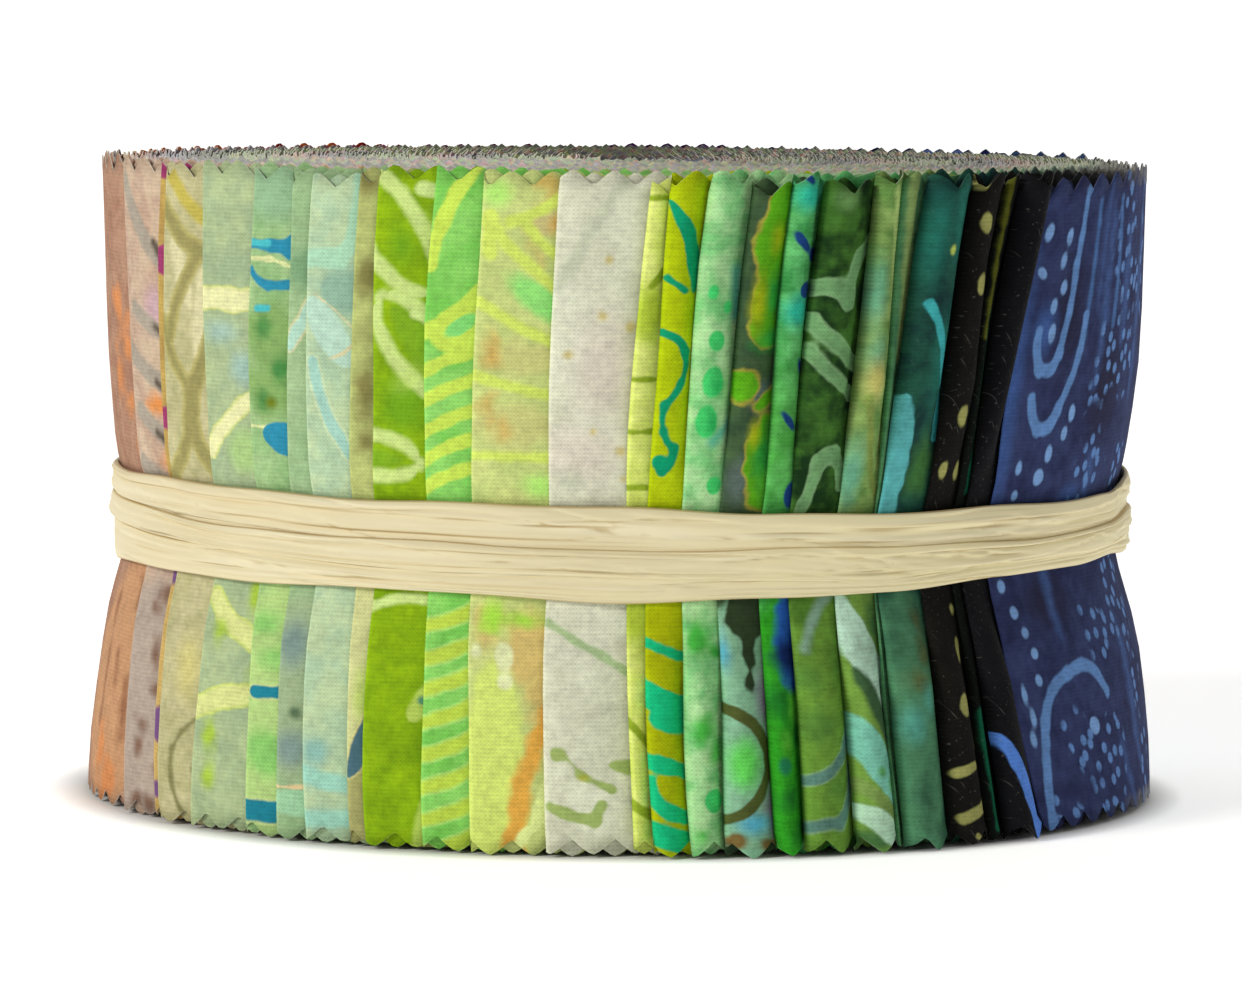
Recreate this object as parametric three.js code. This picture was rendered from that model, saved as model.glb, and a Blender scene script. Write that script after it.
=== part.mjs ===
// A standing roll of forty strips of batik cloth. Each strip is folded in half across its length
// and pinked along both long edges. The forty are wound up together, so that their folds lap over
// each other like shingles round the outside, and three passes of raffia tie the waist.
// Millimetres, +Z up, with the origin at the middle of the foot. Angles are in degrees, seen from
// above: 0 faces the front, which is -Y, and they grow counter-clockwise, towards +X.
import * as THREE from 'three';

// Cloth
const STRIP_WIDTH = 63.5; // from tooth tip to tooth tip, which is the height of the roll
const TOOTH = 3.8; // from one tip of the pinked edge to the next
const TOOTH_DEPTH = 1.5;
const THICKNESS = 1.08; // of one strip's end
const GAP = 0.34; // between pieces that lie on each other
const LAYER = THICKNESS + GAP;
const NOSE = 0.55; // how far the rounded fold reaches along the strip
const TUCK = 3.5; // how far an end runs on under the next strip's fold
const SPREAD = 12; // degrees over which a fold lifts the strips near it
const DROP_FADE = 30; // length over which a strip that sits low comes up again
const RADII_STEP = 0.5; // degrees between the places where the strips' radii are compared

// Mean outside radius of the cloth at each height: drawn in at the waist, spread at the foot
const PROFILE = [
  { height: 2.2, radius: 52.3 },
  { height: 12, radius: 51.3 },
  { height: 22.4, radius: 48.4 },
  { height: 33.6, radius: 48.4 },
  { height: 46, radius: 50.5 },
  { height: 61.2, radius: 51.4 },
];

// Heights at which the folds' angles below were taken
const TOP = 60;
const WAIST = 28;
const FOOT = 4;

// One row for each strip, going round from the left side: where its fold lies at the top, the
// waist and the foot, and how far its top edge sits below the others
const STRIPS = [
  { cloth: 'terracotta', top: -88, waist: -85, foot: -88, drop: 0.3, colour: 0xb98269 },
  { cloth: 'peach', top: -69.3, waist: -68.1, foot: -65.2, drop: 0.1, colour: 0xd9bca6 },
  { cloth: 'ochre', top: -59.4, waist: -60.6, foot: -57.9, drop: 0.5, colour: 0xb08a55 },
  { cloth: 'khaki', top: -57.6, waist: -58.8, foot: -56.3, drop: 0.4, colour: 0xc4c19a },
  { cloth: 'sage', top: -50.3, waist: -51, foot: -50, drop: 0, colour: 0xafc896 },
  { cloth: 'pond', top: -42.4, waist: -43.5, foot: -41.8, drop: 0.2, colour: 0x6fae78 },
  { cloth: 'celery', top: -36.9, waist: -38.5, foot: -37.6, drop: 0.4, colour: 0xa5c38c },
  { cloth: 'mint', top: -34.1, waist: -35.4, foot: -33.7, drop: 1, colour: 0xb9dcb4 },
  { cloth: 'olive', top: -28.6, waist: -30, foot: -28.7, drop: 0.3, colour: 0xa09b55 },
  { cloth: 'lime', top: -26, waist: -27.4, foot: -26.5, drop: 0.2, colour: 0x9bc322 },
  { cloth: 'apple', top: -19.9, waist: -21.2, foot: -20.1, drop: 0, colour: 0xa4dc5a },
  { cloth: 'lemon', top: -14.7, waist: -16, foot: -15.2, drop: 0.2, colour: 0xd7e68c },
  { cloth: 'ivory', top: -6.6, waist: -7.9, foot: -7.3, drop: 0.3, colour: 0xdedcc8 },
  { cloth: 'citrus', top: 2.4, waist: 0.6, foot: 1.3, drop: 1, colour: 0xc0d05a },
  { cloth: 'chartreuse', top: 4.6, waist: 2.8, foot: 3.2, drop: 0.3, colour: 0xafc31e },
  { cloth: 'seafoam', top: 8.5, waist: 6.4, foot: 7.1, drop: 0.2, colour: 0x96d7a5 },
  { cloth: 'moss', top: 12.7, waist: 10.6, foot: 10.5, drop: 1, colour: 0x6f8a58 },
  { cloth: 'emerald', top: 17.2, waist: 15.1, foot: 15.8, drop: 0.2, colour: 0x5ac378 },
  { cloth: 'forest', top: 20.3, waist: 18.2, foot: 18.8, drop: 0.9, colour: 0x4d7a3c },
  { cloth: 'fern', top: 26.5, waist: 23.9, foot: 24.2, drop: 0.1, colour: 0x8cb46e },
  { cloth: 'pine', top: 29.7, waist: 27.2, foot: 27.7, drop: 0.5, colour: 0x2f5a50 },
  { cloth: 'teal', top: 32.2, waist: 28.8, foot: 29.5, drop: 0.3, colour: 0x328078 },
  { cloth: 'black', top: 38.6, waist: 34.8, foot: 35.5, drop: 0.4, colour: 0x262420 },
  { cloth: 'bottle', top: 43.1, waist: 39.1, foot: 40.6, drop: 0.7, colour: 0x3f4a22 },
  { cloth: 'jet', top: 45.1, waist: 40.6, foot: 42.4, drop: 0.4, colour: 0x1d1d21 },
  { cloth: 'navy', top: 50.1, waist: 44.3, foot: 48.3, drop: 1.5, colour: 0x30375c },
  { cloth: 'denim', top: 110, waist: 109, foot: 111, drop: 0.2, colour: 0x4a6698 },
  { cloth: 'cornflower', top: 123, waist: 122, foot: 122, drop: 0.6, colour: 0x6f8fd0 },
  { cloth: 'indigo', top: 131, waist: 130.5, foot: 131.5, drop: 0, colour: 0x353a7c },
  { cloth: 'violet', top: 146, waist: 144.5, foot: 145, drop: 0.3, colour: 0x6a58a6 },
  { cloth: 'lilac', top: 152, waist: 151, foot: 152, drop: 0.9, colour: 0xa993cc },
  { cloth: 'purple', top: 167, waist: 166, foot: 165.5, drop: 0.1, colour: 0x6b3580 },
  { cloth: 'plum', top: 175, waist: 174.5, foot: 175, drop: 0.4, colour: 0x59284f },
  { cloth: 'magenta', top: 189, waist: 188, foot: 189.5, drop: 0.2, colour: 0xa9286e },
  { cloth: 'raspberry', top: 201, waist: 200.5, foot: 200, drop: 0.7, colour: 0xb8304a },
  { cloth: 'scarlet', top: 209, waist: 208, foot: 209, drop: 0, colour: 0xc5392c },
  { cloth: 'coral', top: 224, waist: 223.5, foot: 224, drop: 0.5, colour: 0xdd7455 },
  { cloth: 'tangerine', top: 233, waist: 232, foot: 232.5, drop: 0.2, colour: 0xdf8a3c },
  { cloth: 'rust', top: 248, waist: 247, foot: 248, drop: 0.8, colour: 0x9c5030 },
  { cloth: 'cocoa', top: 259, waist: 258.5, foot: 257, drop: 0.1, colour: 0x5c4038 },
];

// The roll inside the strips' ends
const ROLL_STEPS = 60; // round the roll
const ROLL_RINGS = 15; // across its top
const ROLL_TOP = 63.2;
const TURN = 13.6; // radial build of one turn of all forty strips
const TWIST_DEPTH = 1.5; // of the groove between two turns
const EYE_RADIUS = 3.8; // of the hollow that the turns leave in the middle
const EYE_DEPTH = 42;

// Raffia
const RAFFIA_THICKNESS = 0.9;
const RAFFIA_STEPS = 48;
const RAFFIA_REACH = 15; // degrees over which a taut pass bridges the hollows between folds
const RAFFIA_COLOUR = 0xe8daaf;

// Heights of the tie's edges and of the two seams between its three passes
const TIE = [
  { angle: -86, top: 32.5, upper: 29.8, lower: 27.3, foot: 23.4 },
  { angle: -45, top: 32.4, upper: 28.8, lower: 26.6, foot: 23.9 },
  { angle: 0, top: 32, upper: 28.2, lower: 25.8, foot: 23.4 },
  { angle: 25, top: 31.4, upper: 28.2, lower: 25.8, foot: 23.6 },
  { angle: 62, top: 31.2, upper: 28.8, lower: 27, foot: 25.1 },
  { angle: 86, top: 32.5, upper: 29.3, lower: 26.9, foot: 24.6 },
  { angle: 135, top: 33, upper: 29.8, lower: 27, foot: 23.6 },
  { angle: 180, top: 32.5, upper: 29.5, lower: 26.7, foot: 23.7 },
  { angle: 225, top: 32.9, upper: 29.8, lower: 27.2, foot: 23.5 },
  { angle: 274, top: 32.5, upper: 29.8, lower: 27.3, foot: 23.4 },
];
const PASSES = [
  { name: 'raffia_upper', above: 'top', below: 'upper' },
  { name: 'raffia_middle', above: 'upper', below: 'lower' },
  { name: 'raffia_lower', above: 'lower', below: 'foot' },
];

// Cross-section of one pass, as shares of its width and of its thickness, counter-clockwise where
// outwards is to the right: two soft ridges outside and a flat back
const RAFFIA_SECTION = [
  { across: -0.42, out: 0 },
  { across: -0.5, out: 0.45 },
  { across: -0.26, out: 1 },
  { across: 0.02, out: 0.78 },
  { across: 0.28, out: 0.96 },
  { across: 0.5, out: 0.4 },
  { across: 0.42, out: 0 },
];

const { degToRad, euclideanModulo, radToDeg, smoothstep } = THREE.MathUtils;

function onRoll(angle, radius, height) {
  const turn = degToRad(angle);
  return [radius * Math.sin(turn), -radius * Math.cos(turn), height];
}

function meanRadius(height) {
  const above = PROFILE.find((row) => row.height >= height) ?? PROFILE.at(-1);
  const below = PROFILE[Math.max(PROFILE.indexOf(above) - 1, 0)];
  if (above === below || height > above.height) return above.radius;
  const share = (height - below.height) / (above.height - below.height);
  return below.radius + share * (above.radius - below.radius);
}

// A fold bends evenly through its three measured angles
function foldAngle(strip, height) {
  const lowSlope = (strip.waist - strip.foot) / (WAIST - FOOT);
  const highSlope = (strip.top - strip.waist) / (TOP - WAIST);
  const bend = (highSlope - lowSlope) / (TOP - FOOT);
  return strip.foot + (height - FOOT) * (lowSlope + bend * (height - WAIST));
}

// How many folds have been passed on the way round to an angle, softened near each of them
function foldsPassed(angle, height) {
  let count = -STRIPS.length;
  for (const turn of [-360, 0, 360]) {
    for (const strip of STRIPS) {
      count += smoothstep(angle - turn - foldAngle(strip, height), -SPREAD, SPREAD);
    }
  }
  return count;
}

// A strip starts outermost at its fold and sinks by one layer for each fold that covers it
function outerRadius(index, angle, height) {
  return meanRadius(height) - LAYER * (foldsPassed(angle, height) - (index + 1));
}

function shownArc(strip, index, height) {
  const next = STRIPS[(index + 1) % STRIPS.length];
  const width = euclideanModulo(foldAngle(next, height) - foldAngle(strip, height), 360);
  return degToRad(width) * meanRadius(height);
}

// The most that shows of each strip between its own fold and the next, at any height
const SHOWN = STRIPS.map((strip, index) => {
  const arcs = [TOP, WAIST, FOOT].map((height) => shownArc(strip, index, height));
  return Math.max(...arcs);
});

// The strips that lie at an angle, each with its outside radius there
function radiiAt(angle, height) {
  const radii = [];
  STRIPS.forEach((strip, index) => {
    const fold = foldAngle(strip, height);
    const past = euclideanModulo(angle - fold, 360);
    if (degToRad(past) * meanRadius(height) <= SHOWN[index] + TUCK) {
      radii.push(outerRadius(index, fold + past, height));
    }
  });
  return radii;
}

function radiiNear(angle, height, reach) {
  const radii = [];
  for (let offset = -reach; offset <= reach; offset += RADII_STEP) {
    radii.push(...radiiAt(angle + offset, height));
  }
  return radii;
}

function makeMesh(name, colour, points, triangles) {
  const geometry = new THREE.BufferGeometry();
  geometry.setAttribute('position', new THREE.Float32BufferAttribute(points.flat(), 3));
  geometry.setIndex(triangles.flat());
  geometry.computeVertexNormals();
  const material = new THREE.MeshStandardMaterial({ color: colour, roughness: 0.92, metalness: 0 });
  const mesh = new THREE.Mesh(geometry, material);
  mesh.name = name;
  return mesh;
}

// Walls between loops of equal size, each loop counter-clockwise and above the one before it
function wallTriangles(loopCount, loopSize) {
  const triangles = [];
  for (let loop = 0; loop + 1 < loopCount; loop += 1) {
    for (let step = 0; step < loopSize; step += 1) {
      const here = loop * loopSize + step;
      const next = loop * loopSize + ((step + 1) % loopSize);
      triangles.push([here, next, next + loopSize], [here, next + loopSize, here + loopSize]);
    }
  }
  return triangles;
}

// The shown end of one folded strip: its fold, what shows of it and a tail under the next fold
function stripEnd(strip, index) {
  const columns = [NOSE];
  for (let arc = TOOTH / 2; arc < SHOWN[index] + TOOTH / 4; arc += TOOTH / 2) columns.push(arc);
  columns.push(SHOWN[index] + TUCK);

  const phase = (index % 2) / 2;
  const notch = (arc) => TOOTH_DEPTH * (1 - Math.abs(1 - 2 * euclideanModulo(arc / TOOTH + phase, 1)));
  const drop = (arc) => strip.drop * Math.max(1 - arc / DROP_FADE, 0);
  const upperEdge = PROFILE.at(-1).height;
  const rows = [
    notch,
    ...PROFILE.slice(0, -1).map((row) => () => row.height),
    (arc) => upperEdge - drop(arc),
    (arc) => STRIP_WIDTH - drop(arc) - notch(arc),
  ];
  const place = (arc, height, depth) => {
    const angle = foldAngle(strip, height) + radToDeg(arc / meanRadius(height));
    return onRoll(angle, outerRadius(index, angle, height) - depth, height);
  };
  const points = rows.flatMap((rowHeight) => [
    place(0, rowHeight(0), THICKNESS / 2),
    ...columns.map((arc) => place(arc, rowHeight(arc), 0)),
    ...columns.toReversed().map((arc) => place(arc, rowHeight(arc), THICKNESS)),
  ]);

  const loopSize = 2 * columns.length + 1;
  const triangles = wallTriangles(rows.length, loopSize);
  const lid = (rowStart, up) => {
    const corners = [[0, 1, loopSize - 1]];
    for (let outer = 1; outer < columns.length; outer += 1) {
      const inner = loopSize - outer;
      corners.push([outer, outer + 1, inner - 1], [outer, inner - 1, inner]);
    }
    for (const corner of corners) {
      const placed = corner.map((point) => rowStart + point);
      triangles.push(up ? placed : placed.reverse());
    }
  };
  lid(0, false);
  lid((rows.length - 1) * loopSize, true);
  const number = String(index + 1).padStart(2, '0');
  return makeMesh(`strip_${number}_${strip.cloth}`, strip.colour, points, triangles);
}

// Height of the roll's top: a groove winds in between the turns to the hollow in the middle
function rollTop(radius, angle) {
  if (radius <= EYE_RADIUS) return ROLL_TOP - EYE_DEPTH;
  const along = radius / TURN + angle / 360;
  const groove = (0.5 + 0.5 * Math.cos(2 * Math.PI * along)) ** 2;
  return ROLL_TOP - TWIST_DEPTH * groove;
}

function woundRoll() {
  const step = 360 / ROLL_STEPS;
  const angles = Array.from({ length: ROLL_STEPS }, (_, index) => index * step);
  const room = (angle, height) => Math.min(...radiiNear(angle, height, step)) - THICKNESS - GAP;
  const wallHeights = [0, ...PROFILE.map((row) => row.height)];
  const wallLoop = (height) => angles.map((angle) => onRoll(angle, room(angle, height), height));
  const points = wallHeights.flatMap(wallLoop);
  for (let ring = 0; ring <= ROLL_RINGS; ring += 1) {
    for (const angle of angles) {
      const rim = room(angle, PROFILE.at(-1).height);
      const radius = rim + (EYE_RADIUS - rim) * (ring / ROLL_RINGS);
      points.push(onRoll(angle, radius, rollTop(radius, angle)));
    }
  }
  const loopCount = points.length / ROLL_STEPS;
  const triangles = wallTriangles(loopCount, ROLL_STEPS);
  const footMiddle = points.push([0, 0, 0]) - 1;
  const eyeMiddle = points.push([0, 0, ROLL_TOP - EYE_DEPTH]) - 1;
  const lastLoop = (loopCount - 1) * ROLL_STEPS;
  for (let here = 0; here < ROLL_STEPS; here += 1) {
    const next = (here + 1) % ROLL_STEPS;
    triangles.push([footMiddle, next, here], [eyeMiddle, lastLoop + here, lastLoop + next]);
  }
  return makeMesh('wound_roll', 0xb9c08c, points, triangles);
}

function tieHeight(edge, angle) {
  const turned = euclideanModulo(angle - TIE[0].angle, 360) + TIE[0].angle;
  const after = Math.max(TIE.findIndex((row) => row.angle > turned), 1);
  const [from, to] = [TIE[after - 1], TIE[after]];
  return from[edge] + (to[edge] - from[edge]) * smoothstep(turned, from.angle, to.angle);
}

// One closed pass of raffia, lying on the folds and a little apart from the passes beside it
function raffiaPass({ name, above, below }) {
  const points = [];
  for (let step = 0; step < RAFFIA_STEPS; step += 1) {
    const angle = (360 * step) / RAFFIA_STEPS;
    const upper = tieHeight(above, angle) - GAP / 2;
    const lower = tieHeight(below, angle) + GAP / 2;
    const seat = Math.max(...radiiNear(angle, WAIST, RAFFIA_REACH)) + GAP;
    for (const { across, out } of RAFFIA_SECTION) {
      const height = (upper + lower) / 2 + across * (upper - lower);
      points.push(onRoll(angle, seat + out * RAFFIA_THICKNESS, height));
    }
  }
  const size = RAFFIA_SECTION.length;
  const triangles = [];
  for (let step = 0; step < RAFFIA_STEPS; step += 1) {
    const nextStep = (step + 1) % RAFFIA_STEPS;
    for (let corner = 0; corner < size; corner += 1) {
      const nextCorner = (corner + 1) % size;
      const a = step * size + corner;
      const b = step * size + nextCorner;
      const c = nextStep * size + nextCorner;
      const d = nextStep * size + corner;
      triangles.push([a, d, c], [a, c, b]);
    }
  }
  return makeMesh(name, RAFFIA_COLOUR, points, triangles);
}

const bundle = new THREE.Group();
bundle.add(woundRoll());
bundle.add(...STRIPS.map(stripEnd));
bundle.add(...PASSES.map(raffiaPass));

// The turns' axis is a little off the middle of the outline, which is where the origin belongs
const middle = new THREE.Box3().setFromObject(bundle).getCenter(new THREE.Vector3());
bundle.position.set(-middle.x, -middle.y, 0);

export default bundle;
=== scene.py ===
"""A standing roll of forty strips of batik cotton, each folded in half and pinked, tied with raffia.

Lengths are in millimetres until a mesh is made, and the meshes are in metres. Angles are in degrees
seen from above: 0 faces the front, which is -Y, and they grow counter-clockwise, towards +X.
"""
import math
from typing import Callable, NamedTuple

import bmesh
import bpy
import numpy as np
from mathutils import Matrix, Vector


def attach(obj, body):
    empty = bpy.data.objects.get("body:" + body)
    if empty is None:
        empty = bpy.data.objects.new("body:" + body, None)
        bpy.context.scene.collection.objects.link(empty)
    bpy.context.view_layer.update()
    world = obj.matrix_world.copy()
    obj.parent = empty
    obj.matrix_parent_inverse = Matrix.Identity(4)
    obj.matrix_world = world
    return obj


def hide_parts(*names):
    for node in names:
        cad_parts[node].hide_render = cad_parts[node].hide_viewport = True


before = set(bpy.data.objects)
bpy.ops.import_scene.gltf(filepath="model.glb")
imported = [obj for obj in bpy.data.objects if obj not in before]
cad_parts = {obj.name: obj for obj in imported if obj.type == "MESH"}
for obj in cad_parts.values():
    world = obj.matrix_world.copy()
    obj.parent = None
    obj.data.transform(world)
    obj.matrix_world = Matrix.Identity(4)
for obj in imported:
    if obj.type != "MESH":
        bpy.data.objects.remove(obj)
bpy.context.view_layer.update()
bpy.ops.object.select_all(action="DESELECT")

MM = 0.001

# The axis of the turns, beside the middle of the roll's outline
AXIS = (0.317, -0.049)

# Cloth
STRIP_WIDTH = 63.5
STRIP_LENGTH = 1118.0
TOOTH = 3.8
TOOTH_DEPTH = 1.5
FOLDED = 0.344  # both layers of one strip, pressed
LAYER = 0.14  # one layer at its cut edge
SPREAD = 9.0  # degrees on each side over which a fold lifts the strips over it
LOOSE = 7.0  # strips over which the outer turns tighten
EVEN_DEPTH = 30.0  # strips over which the turns become even circles
NOSE = 0.3  # length over which the two layers part behind the fold
STEP = TOOTH / 8
EYE = 2.8  # radius of the small hollow that the turns leave in the middle
WAVERS = [(0.13, 8.0, 2.4), (0.07, 3.7, 1.0)]  # of a fold: size, height, and shift from strip to strip
DROP_LENGTH = 25.0  # length over which a strip's own drop gives way to the one inside
SINK = 0.3  # how far the top edges sit below the full width
LIFT = 0.2  # how far the foot edges sit above the floor
SINK_DRIFT = (0.28, 37.0)  # how far they wander, and over which length
LIFT_DRIFT = (0.18, 31.0)
TIED_PUFF = 0.06  # share of a puff that is left under the tie
TIE_REACH = 4.2  # half the height over which the tie presses it flat, and how soon it swells beyond
PUFF_RISE = 10.5
STRAIGHT = 0.55  # share of a tooth's shape that is straight-sided; the rest is worn round

# Outside radius of the pressed turns inside, and of the cloth at each height
TIGHT_RADIUS = 49.2
PROFILE = np.array(
    [
        (0.0, 52.9),
        (4.8, 52.7),
        (11.3, 51.9),
        (18.1, 51.0),
        (21.5, 50.2),
        (23.6, 49.6),
        (25.2, 49.3),
        (31.0, 49.3),
        (32.6, 49.9),
        (34.8, 50.3),
        (40.0, 50.6),
        (46.0, 51.0),
        (54.0, 51.3),
        (63.5, 51.6),
    ]
)

# Heights at which the folds' angles were taken
TOP = 60.0
WAIST = 28.0
FOOT = 4.0

# Heights of the mesh rows between the pinked edges, where the strips show and deep inside
EDGE_ROW = 2.1
SHOWN_ROWS = [6, 10.5, 15, 18.5, 21, 22.8, 24.4, 26, 28, 30.4, 32, 33.6, 35.6, 39, 43.5, 49, 55]
DEEP_ROWS = [28]

# Distances from the fold of its first mesh columns, and how far the close ones run on under the next
NOSE_COLUMNS = [0.05, 0.16, 0.32]
BEYOND = 4.0


def smooth(value):
    """0 and 1 at the ends of the range from 0 to 1, level there, and held beyond them."""
    held = np.clip(value, 0.0, 1.0)
    return held * held * (3.0 - 2.0 * held)


# Materials

FUZZ = (232, 230, 220)  # colour of the cut edges
WEFT_PITCH = 0.38  # from thread to thread
WARP_PITCH = 0.36
FUZZ_AND_PAINTED_LIGHT_FROM = (12.0, 44.0)  # distances from the fold over which the cut edges turn pale, partly with their fuzz and partly with painted light
FOLD_HIGHLIGHT_AND_WEAR = (0.45, 0.1)  # distances from the fold over which a painted highlight, standing also for wear, makes it paler

# Sockets of a mix node, whose colours share their names with its numbers
MIX_MASK = 0
MIX_BELOW = 6
MIX_ABOVE = 7
MIX_RESULT = 2


def linear(colour):
    """A colour as a screen shows it, from 0 to 255, as the linear one that shaders take."""
    shares = (channel / 255 for channel in colour)
    return tuple(s / 12.92 if s <= 0.04045 else ((s + 0.055) / 1.055) ** 2.4 for s in shares)


def add_node(tree, kind, inputs, **settings):
    """A node in a tree, with its settings, and with constants, sockets or fields as its inputs."""
    node = tree.nodes.new(f"ShaderNode{kind}")
    for name, value in settings.items():
        setattr(node, name, value)
    for place, value in inputs.items():
        if isinstance(value, Field):
            value = value.socket
        if isinstance(value, bpy.types.NodeSocket):
            tree.links.new(value, node.inputs[place])
        else:
            node.inputs[place].default_value = value
    return node


def through(operation):
    """A method that puts its field, and what else it is given, through a math node."""
    return lambda field, *others: field._math(operation, field, *others)


class Field:
    """A number that varies over the cloth, as the output of a node."""

    __add__ = through("ADD")
    __sub__ = through("SUBTRACT")
    __mul__ = through("MULTIPLY")
    __abs__ = through("ABSOLUTE")
    over = through("MAXIMUM")
    under = through("MINIMUM")
    joined = through("SMOOTH_MIN")
    sine = through("SINE")
    part = through("FRACT")
    root = through("SQRT")

    def __init__(self, tree, socket):
        self.tree = tree
        self.socket = socket

    def __rsub__(self, other):
        return self._math("SUBTRACT", other, self)

    def _math(self, operation, *values):
        node = add_node(self.tree, "Math", dict(enumerate(values)), operation=operation)
        return Field(self.tree, node.outputs[0])

    def inside(self, soft):
        """1 where a distance is negative, over a soft edge in millimetres."""
        return self.between(soft, -soft)

    def between(self, low, high):
        """0 where the number is low or less, 1 where it is high or more, and soft in between."""
        flip = low > high
        inputs = {"Value": self, "From Min": min(low, high), "From Max": max(low, high)}
        inputs |= {"To Min": float(flip), "To Max": float(not flip)}
        node = add_node(self.tree, "MapRange", inputs, interpolation_type="SMOOTHSTEP")
        return Field(self.tree, node.outputs["Result"])


class Cloth:
    """The node tree of one material. u runs along the piece and v across it, in millimetres."""

    def __init__(self, name):
        self.material = bpy.data.materials.new(name)
        self.material.use_nodes = True
        self.tree = self.material.node_tree
        self.shader = self.tree.nodes["Principled BSDF"]
        self.shader.inputs["Metallic"].default_value = 0.0
        uv_map = self._node("UVMap", {}, uv_map="cloth")
        self.place = self._scaled(uv_map.outputs[0], 1000.0)
        self.u, self.v, _ = self._split(self.place)
        self.colour = None
        self.fray = 0.6
        self.mottle = 0.36

    def _node(self, kind, inputs, **settings):
        return add_node(self.tree, kind, inputs, **settings)

    def _scaled(self, vector, factor):
        return self._node("VectorMath", {0: vector, "Scale": factor}, operation="SCALE").outputs["Vector"]

    def _split(self, vector):
        return [Field(self.tree, output) for output in self._node("SeparateXYZ", {0: vector}).outputs]

    def _mapped(self, size, seed, turn=0.0, stretch=1.0):
        """Places over the cloth in cells of a size, turned, drawn out along u, and moved by a seed."""
        turned = self._node("Mapping", {"Vector": self.place, "Rotation": (0.0, 0.0, math.radians(-turn))})
        moved = (seed * 3.71, seed * 5.13, seed * 7.77)
        cell = (1 / (size * stretch), 1 / size, 1.0)
        inputs = {"Vector": turned.outputs[0], "Location": moved, "Scale": cell}
        return self._node("Mapping", inputs).outputs[0]

    def noise(self, size, seed, detail=1.0, warp=0.0, turn=0.0, stretch=1.0):
        inputs = {"Vector": self._mapped(size, seed, turn, stretch), "Scale": 1.0}
        inputs |= {"Detail": detail, "Distortion": warp}
        return Field(self.tree, self._node("TexNoise", inputs).outputs[0])

    def uneven(self, size, seed, detail):
        """A noise that varies round 0."""
        return self.noise(size, seed, detail) - 0.5

    def cells(self, size, seed, jitter, turn=0.0):
        """How far a place is from the middle of its cell, in cells."""
        inputs = {"Vector": self._mapped(size, seed, turn), "Scale": 1.0, "Randomness": jitter}
        node = self._node("TexVoronoi", inputs, voronoi_dimensions="2D")
        return Field(self.tree, node.outputs["Distance"])

    def loops(self, size, seed, width):
        """Brushed lines that wander and close on themselves: 1 on the line."""
        return abs(self.uneven(size, seed, 0.0)).between(width * 1.25, width * 0.8)

    def bars(self, turn, pitch, share, sway, seed):
        """Bands that sway across the direction of turn, in degrees from u: 1 on the share that is band."""
        angle = math.radians(turn)
        along = self.u * math.cos(angle) + self.v * math.sin(angle)
        along = along + self.uneven(14.0, seed, 0.5) * (2 * sway)
        wave = abs((along * (1 / pitch)).part() - 0.5) * 2.0
        return wave.between(share + 0.08, share - 0.08)

    def _placed(self, u, v, turn, size=(1.0, 1.0, 1.0)):
        """Places over the cloth, seen from the middle, turn and size of one shape."""
        inputs = {"Vector": self.place, "Location": (u, v, 0.0), "Scale": size}
        inputs["Rotation"] = (0.0, 0.0, math.radians(turn))
        return self._node("Mapping", inputs, vector_type="TEXTURE").outputs[0]

    def _dot(self, u, v, width, height, turn=0.0):
        place = self._placed(u, v, turn, (width / 2, height / 2, 1.0))
        length = self._node("VectorMath", {0: place}, operation="LENGTH").outputs["Value"]
        return (Field(self.tree, length) - 1.0) * (min(width, height) / 2)

    def _stroke(self, u, v, end_u, end_v, width, bend=0.0, pointed=False):
        turn = math.degrees(math.atan2(end_v - v, end_u - u))
        half = max(math.hypot(end_u - u, end_v - v) / 2, 0.05)
        along, across, _ = self._split(self._placed((u + end_u) / 2, (v + end_v) / 2, turn))
        share = along * (1 / half)
        held = (share * share).under(1.0)
        if bend:
            across = across + held * bend - bend
        beyond = (abs(along) - half).over(0.0)
        away = (beyond * beyond + across * across).root()
        return away - ((1.0 - held).root() if pointed else 1.0) * (width / 2)

    def shapes(self, dots=(), lines=(), petals=(), rings=(), rough=0.2, joint=0.8):
        """Distance in millimetres to the edge of hand-drawn shapes, and negative inside them. A dot has
        its middle, width, height and turn; a line has its two ends, its width and how far it bows; a
        petal is a line whose ends are pointed; a ring is a petal's outline, with the line's own width
        last. Shapes that touch run into each other over the joint."""
        fields = [self._dot(*dot) for dot in dots]
        fields += [self._stroke(*line) for line in lines]
        fields += [self._stroke(*(*petal, 0.0)[:6], pointed=True) for petal in petals]
        fields += [abs(self._stroke(*ring[:6], pointed=True)) - ring[6] / 2 for ring in rings]
        nearest = fields[0]
        for field in fields[1:]:
            nearest = nearest.joined(field, joint)
        return nearest + self.uneven(1.6 + rough, 17, 1.5) * (3 * rough)

    def draw(self, colour, soft=0.25, strength=1.0, rim=None, rim_width=0.2, **shapes):
        """Dyes hand-drawn shapes, with a line of another colour round them where a rim is given."""
        edge = self.shapes(**shapes)
        if rim:
            self.dye(rim, (edge - rim_width).inside(0.15), 0.8)
        self.dye(colour, edge.inside(soft), strength)

    def ground(self, first, second, size, seed):
        """Two dyes that run into each other, with a finer mottle."""
        run = self.noise(size, seed, 3.0, 0.4) * 0.65 + self.noise(1.6, seed + 40, 2.5) * 0.35
        self.mix(first, second, run.between(0.36, 0.64))

    def mix(self, below, above, mask):
        """Makes the colour one from another or, where below is a socket, from what is there already."""
        if isinstance(below, tuple):
            below = (*linear(below), 1.0)
        inputs = {MIX_MASK: mask, MIX_BELOW: below, MIX_ABOVE: (*linear(above), 1.0)}
        self.colour = self._node("Mix", inputs, data_type="RGBA").outputs[MIX_RESULT]

    def dye(self, colour, mask, strength=1.0):
        """Lays a colour over what is there already."""
        self.mix(self.colour, colour, mask * strength if strength < 1 else mask)

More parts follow.
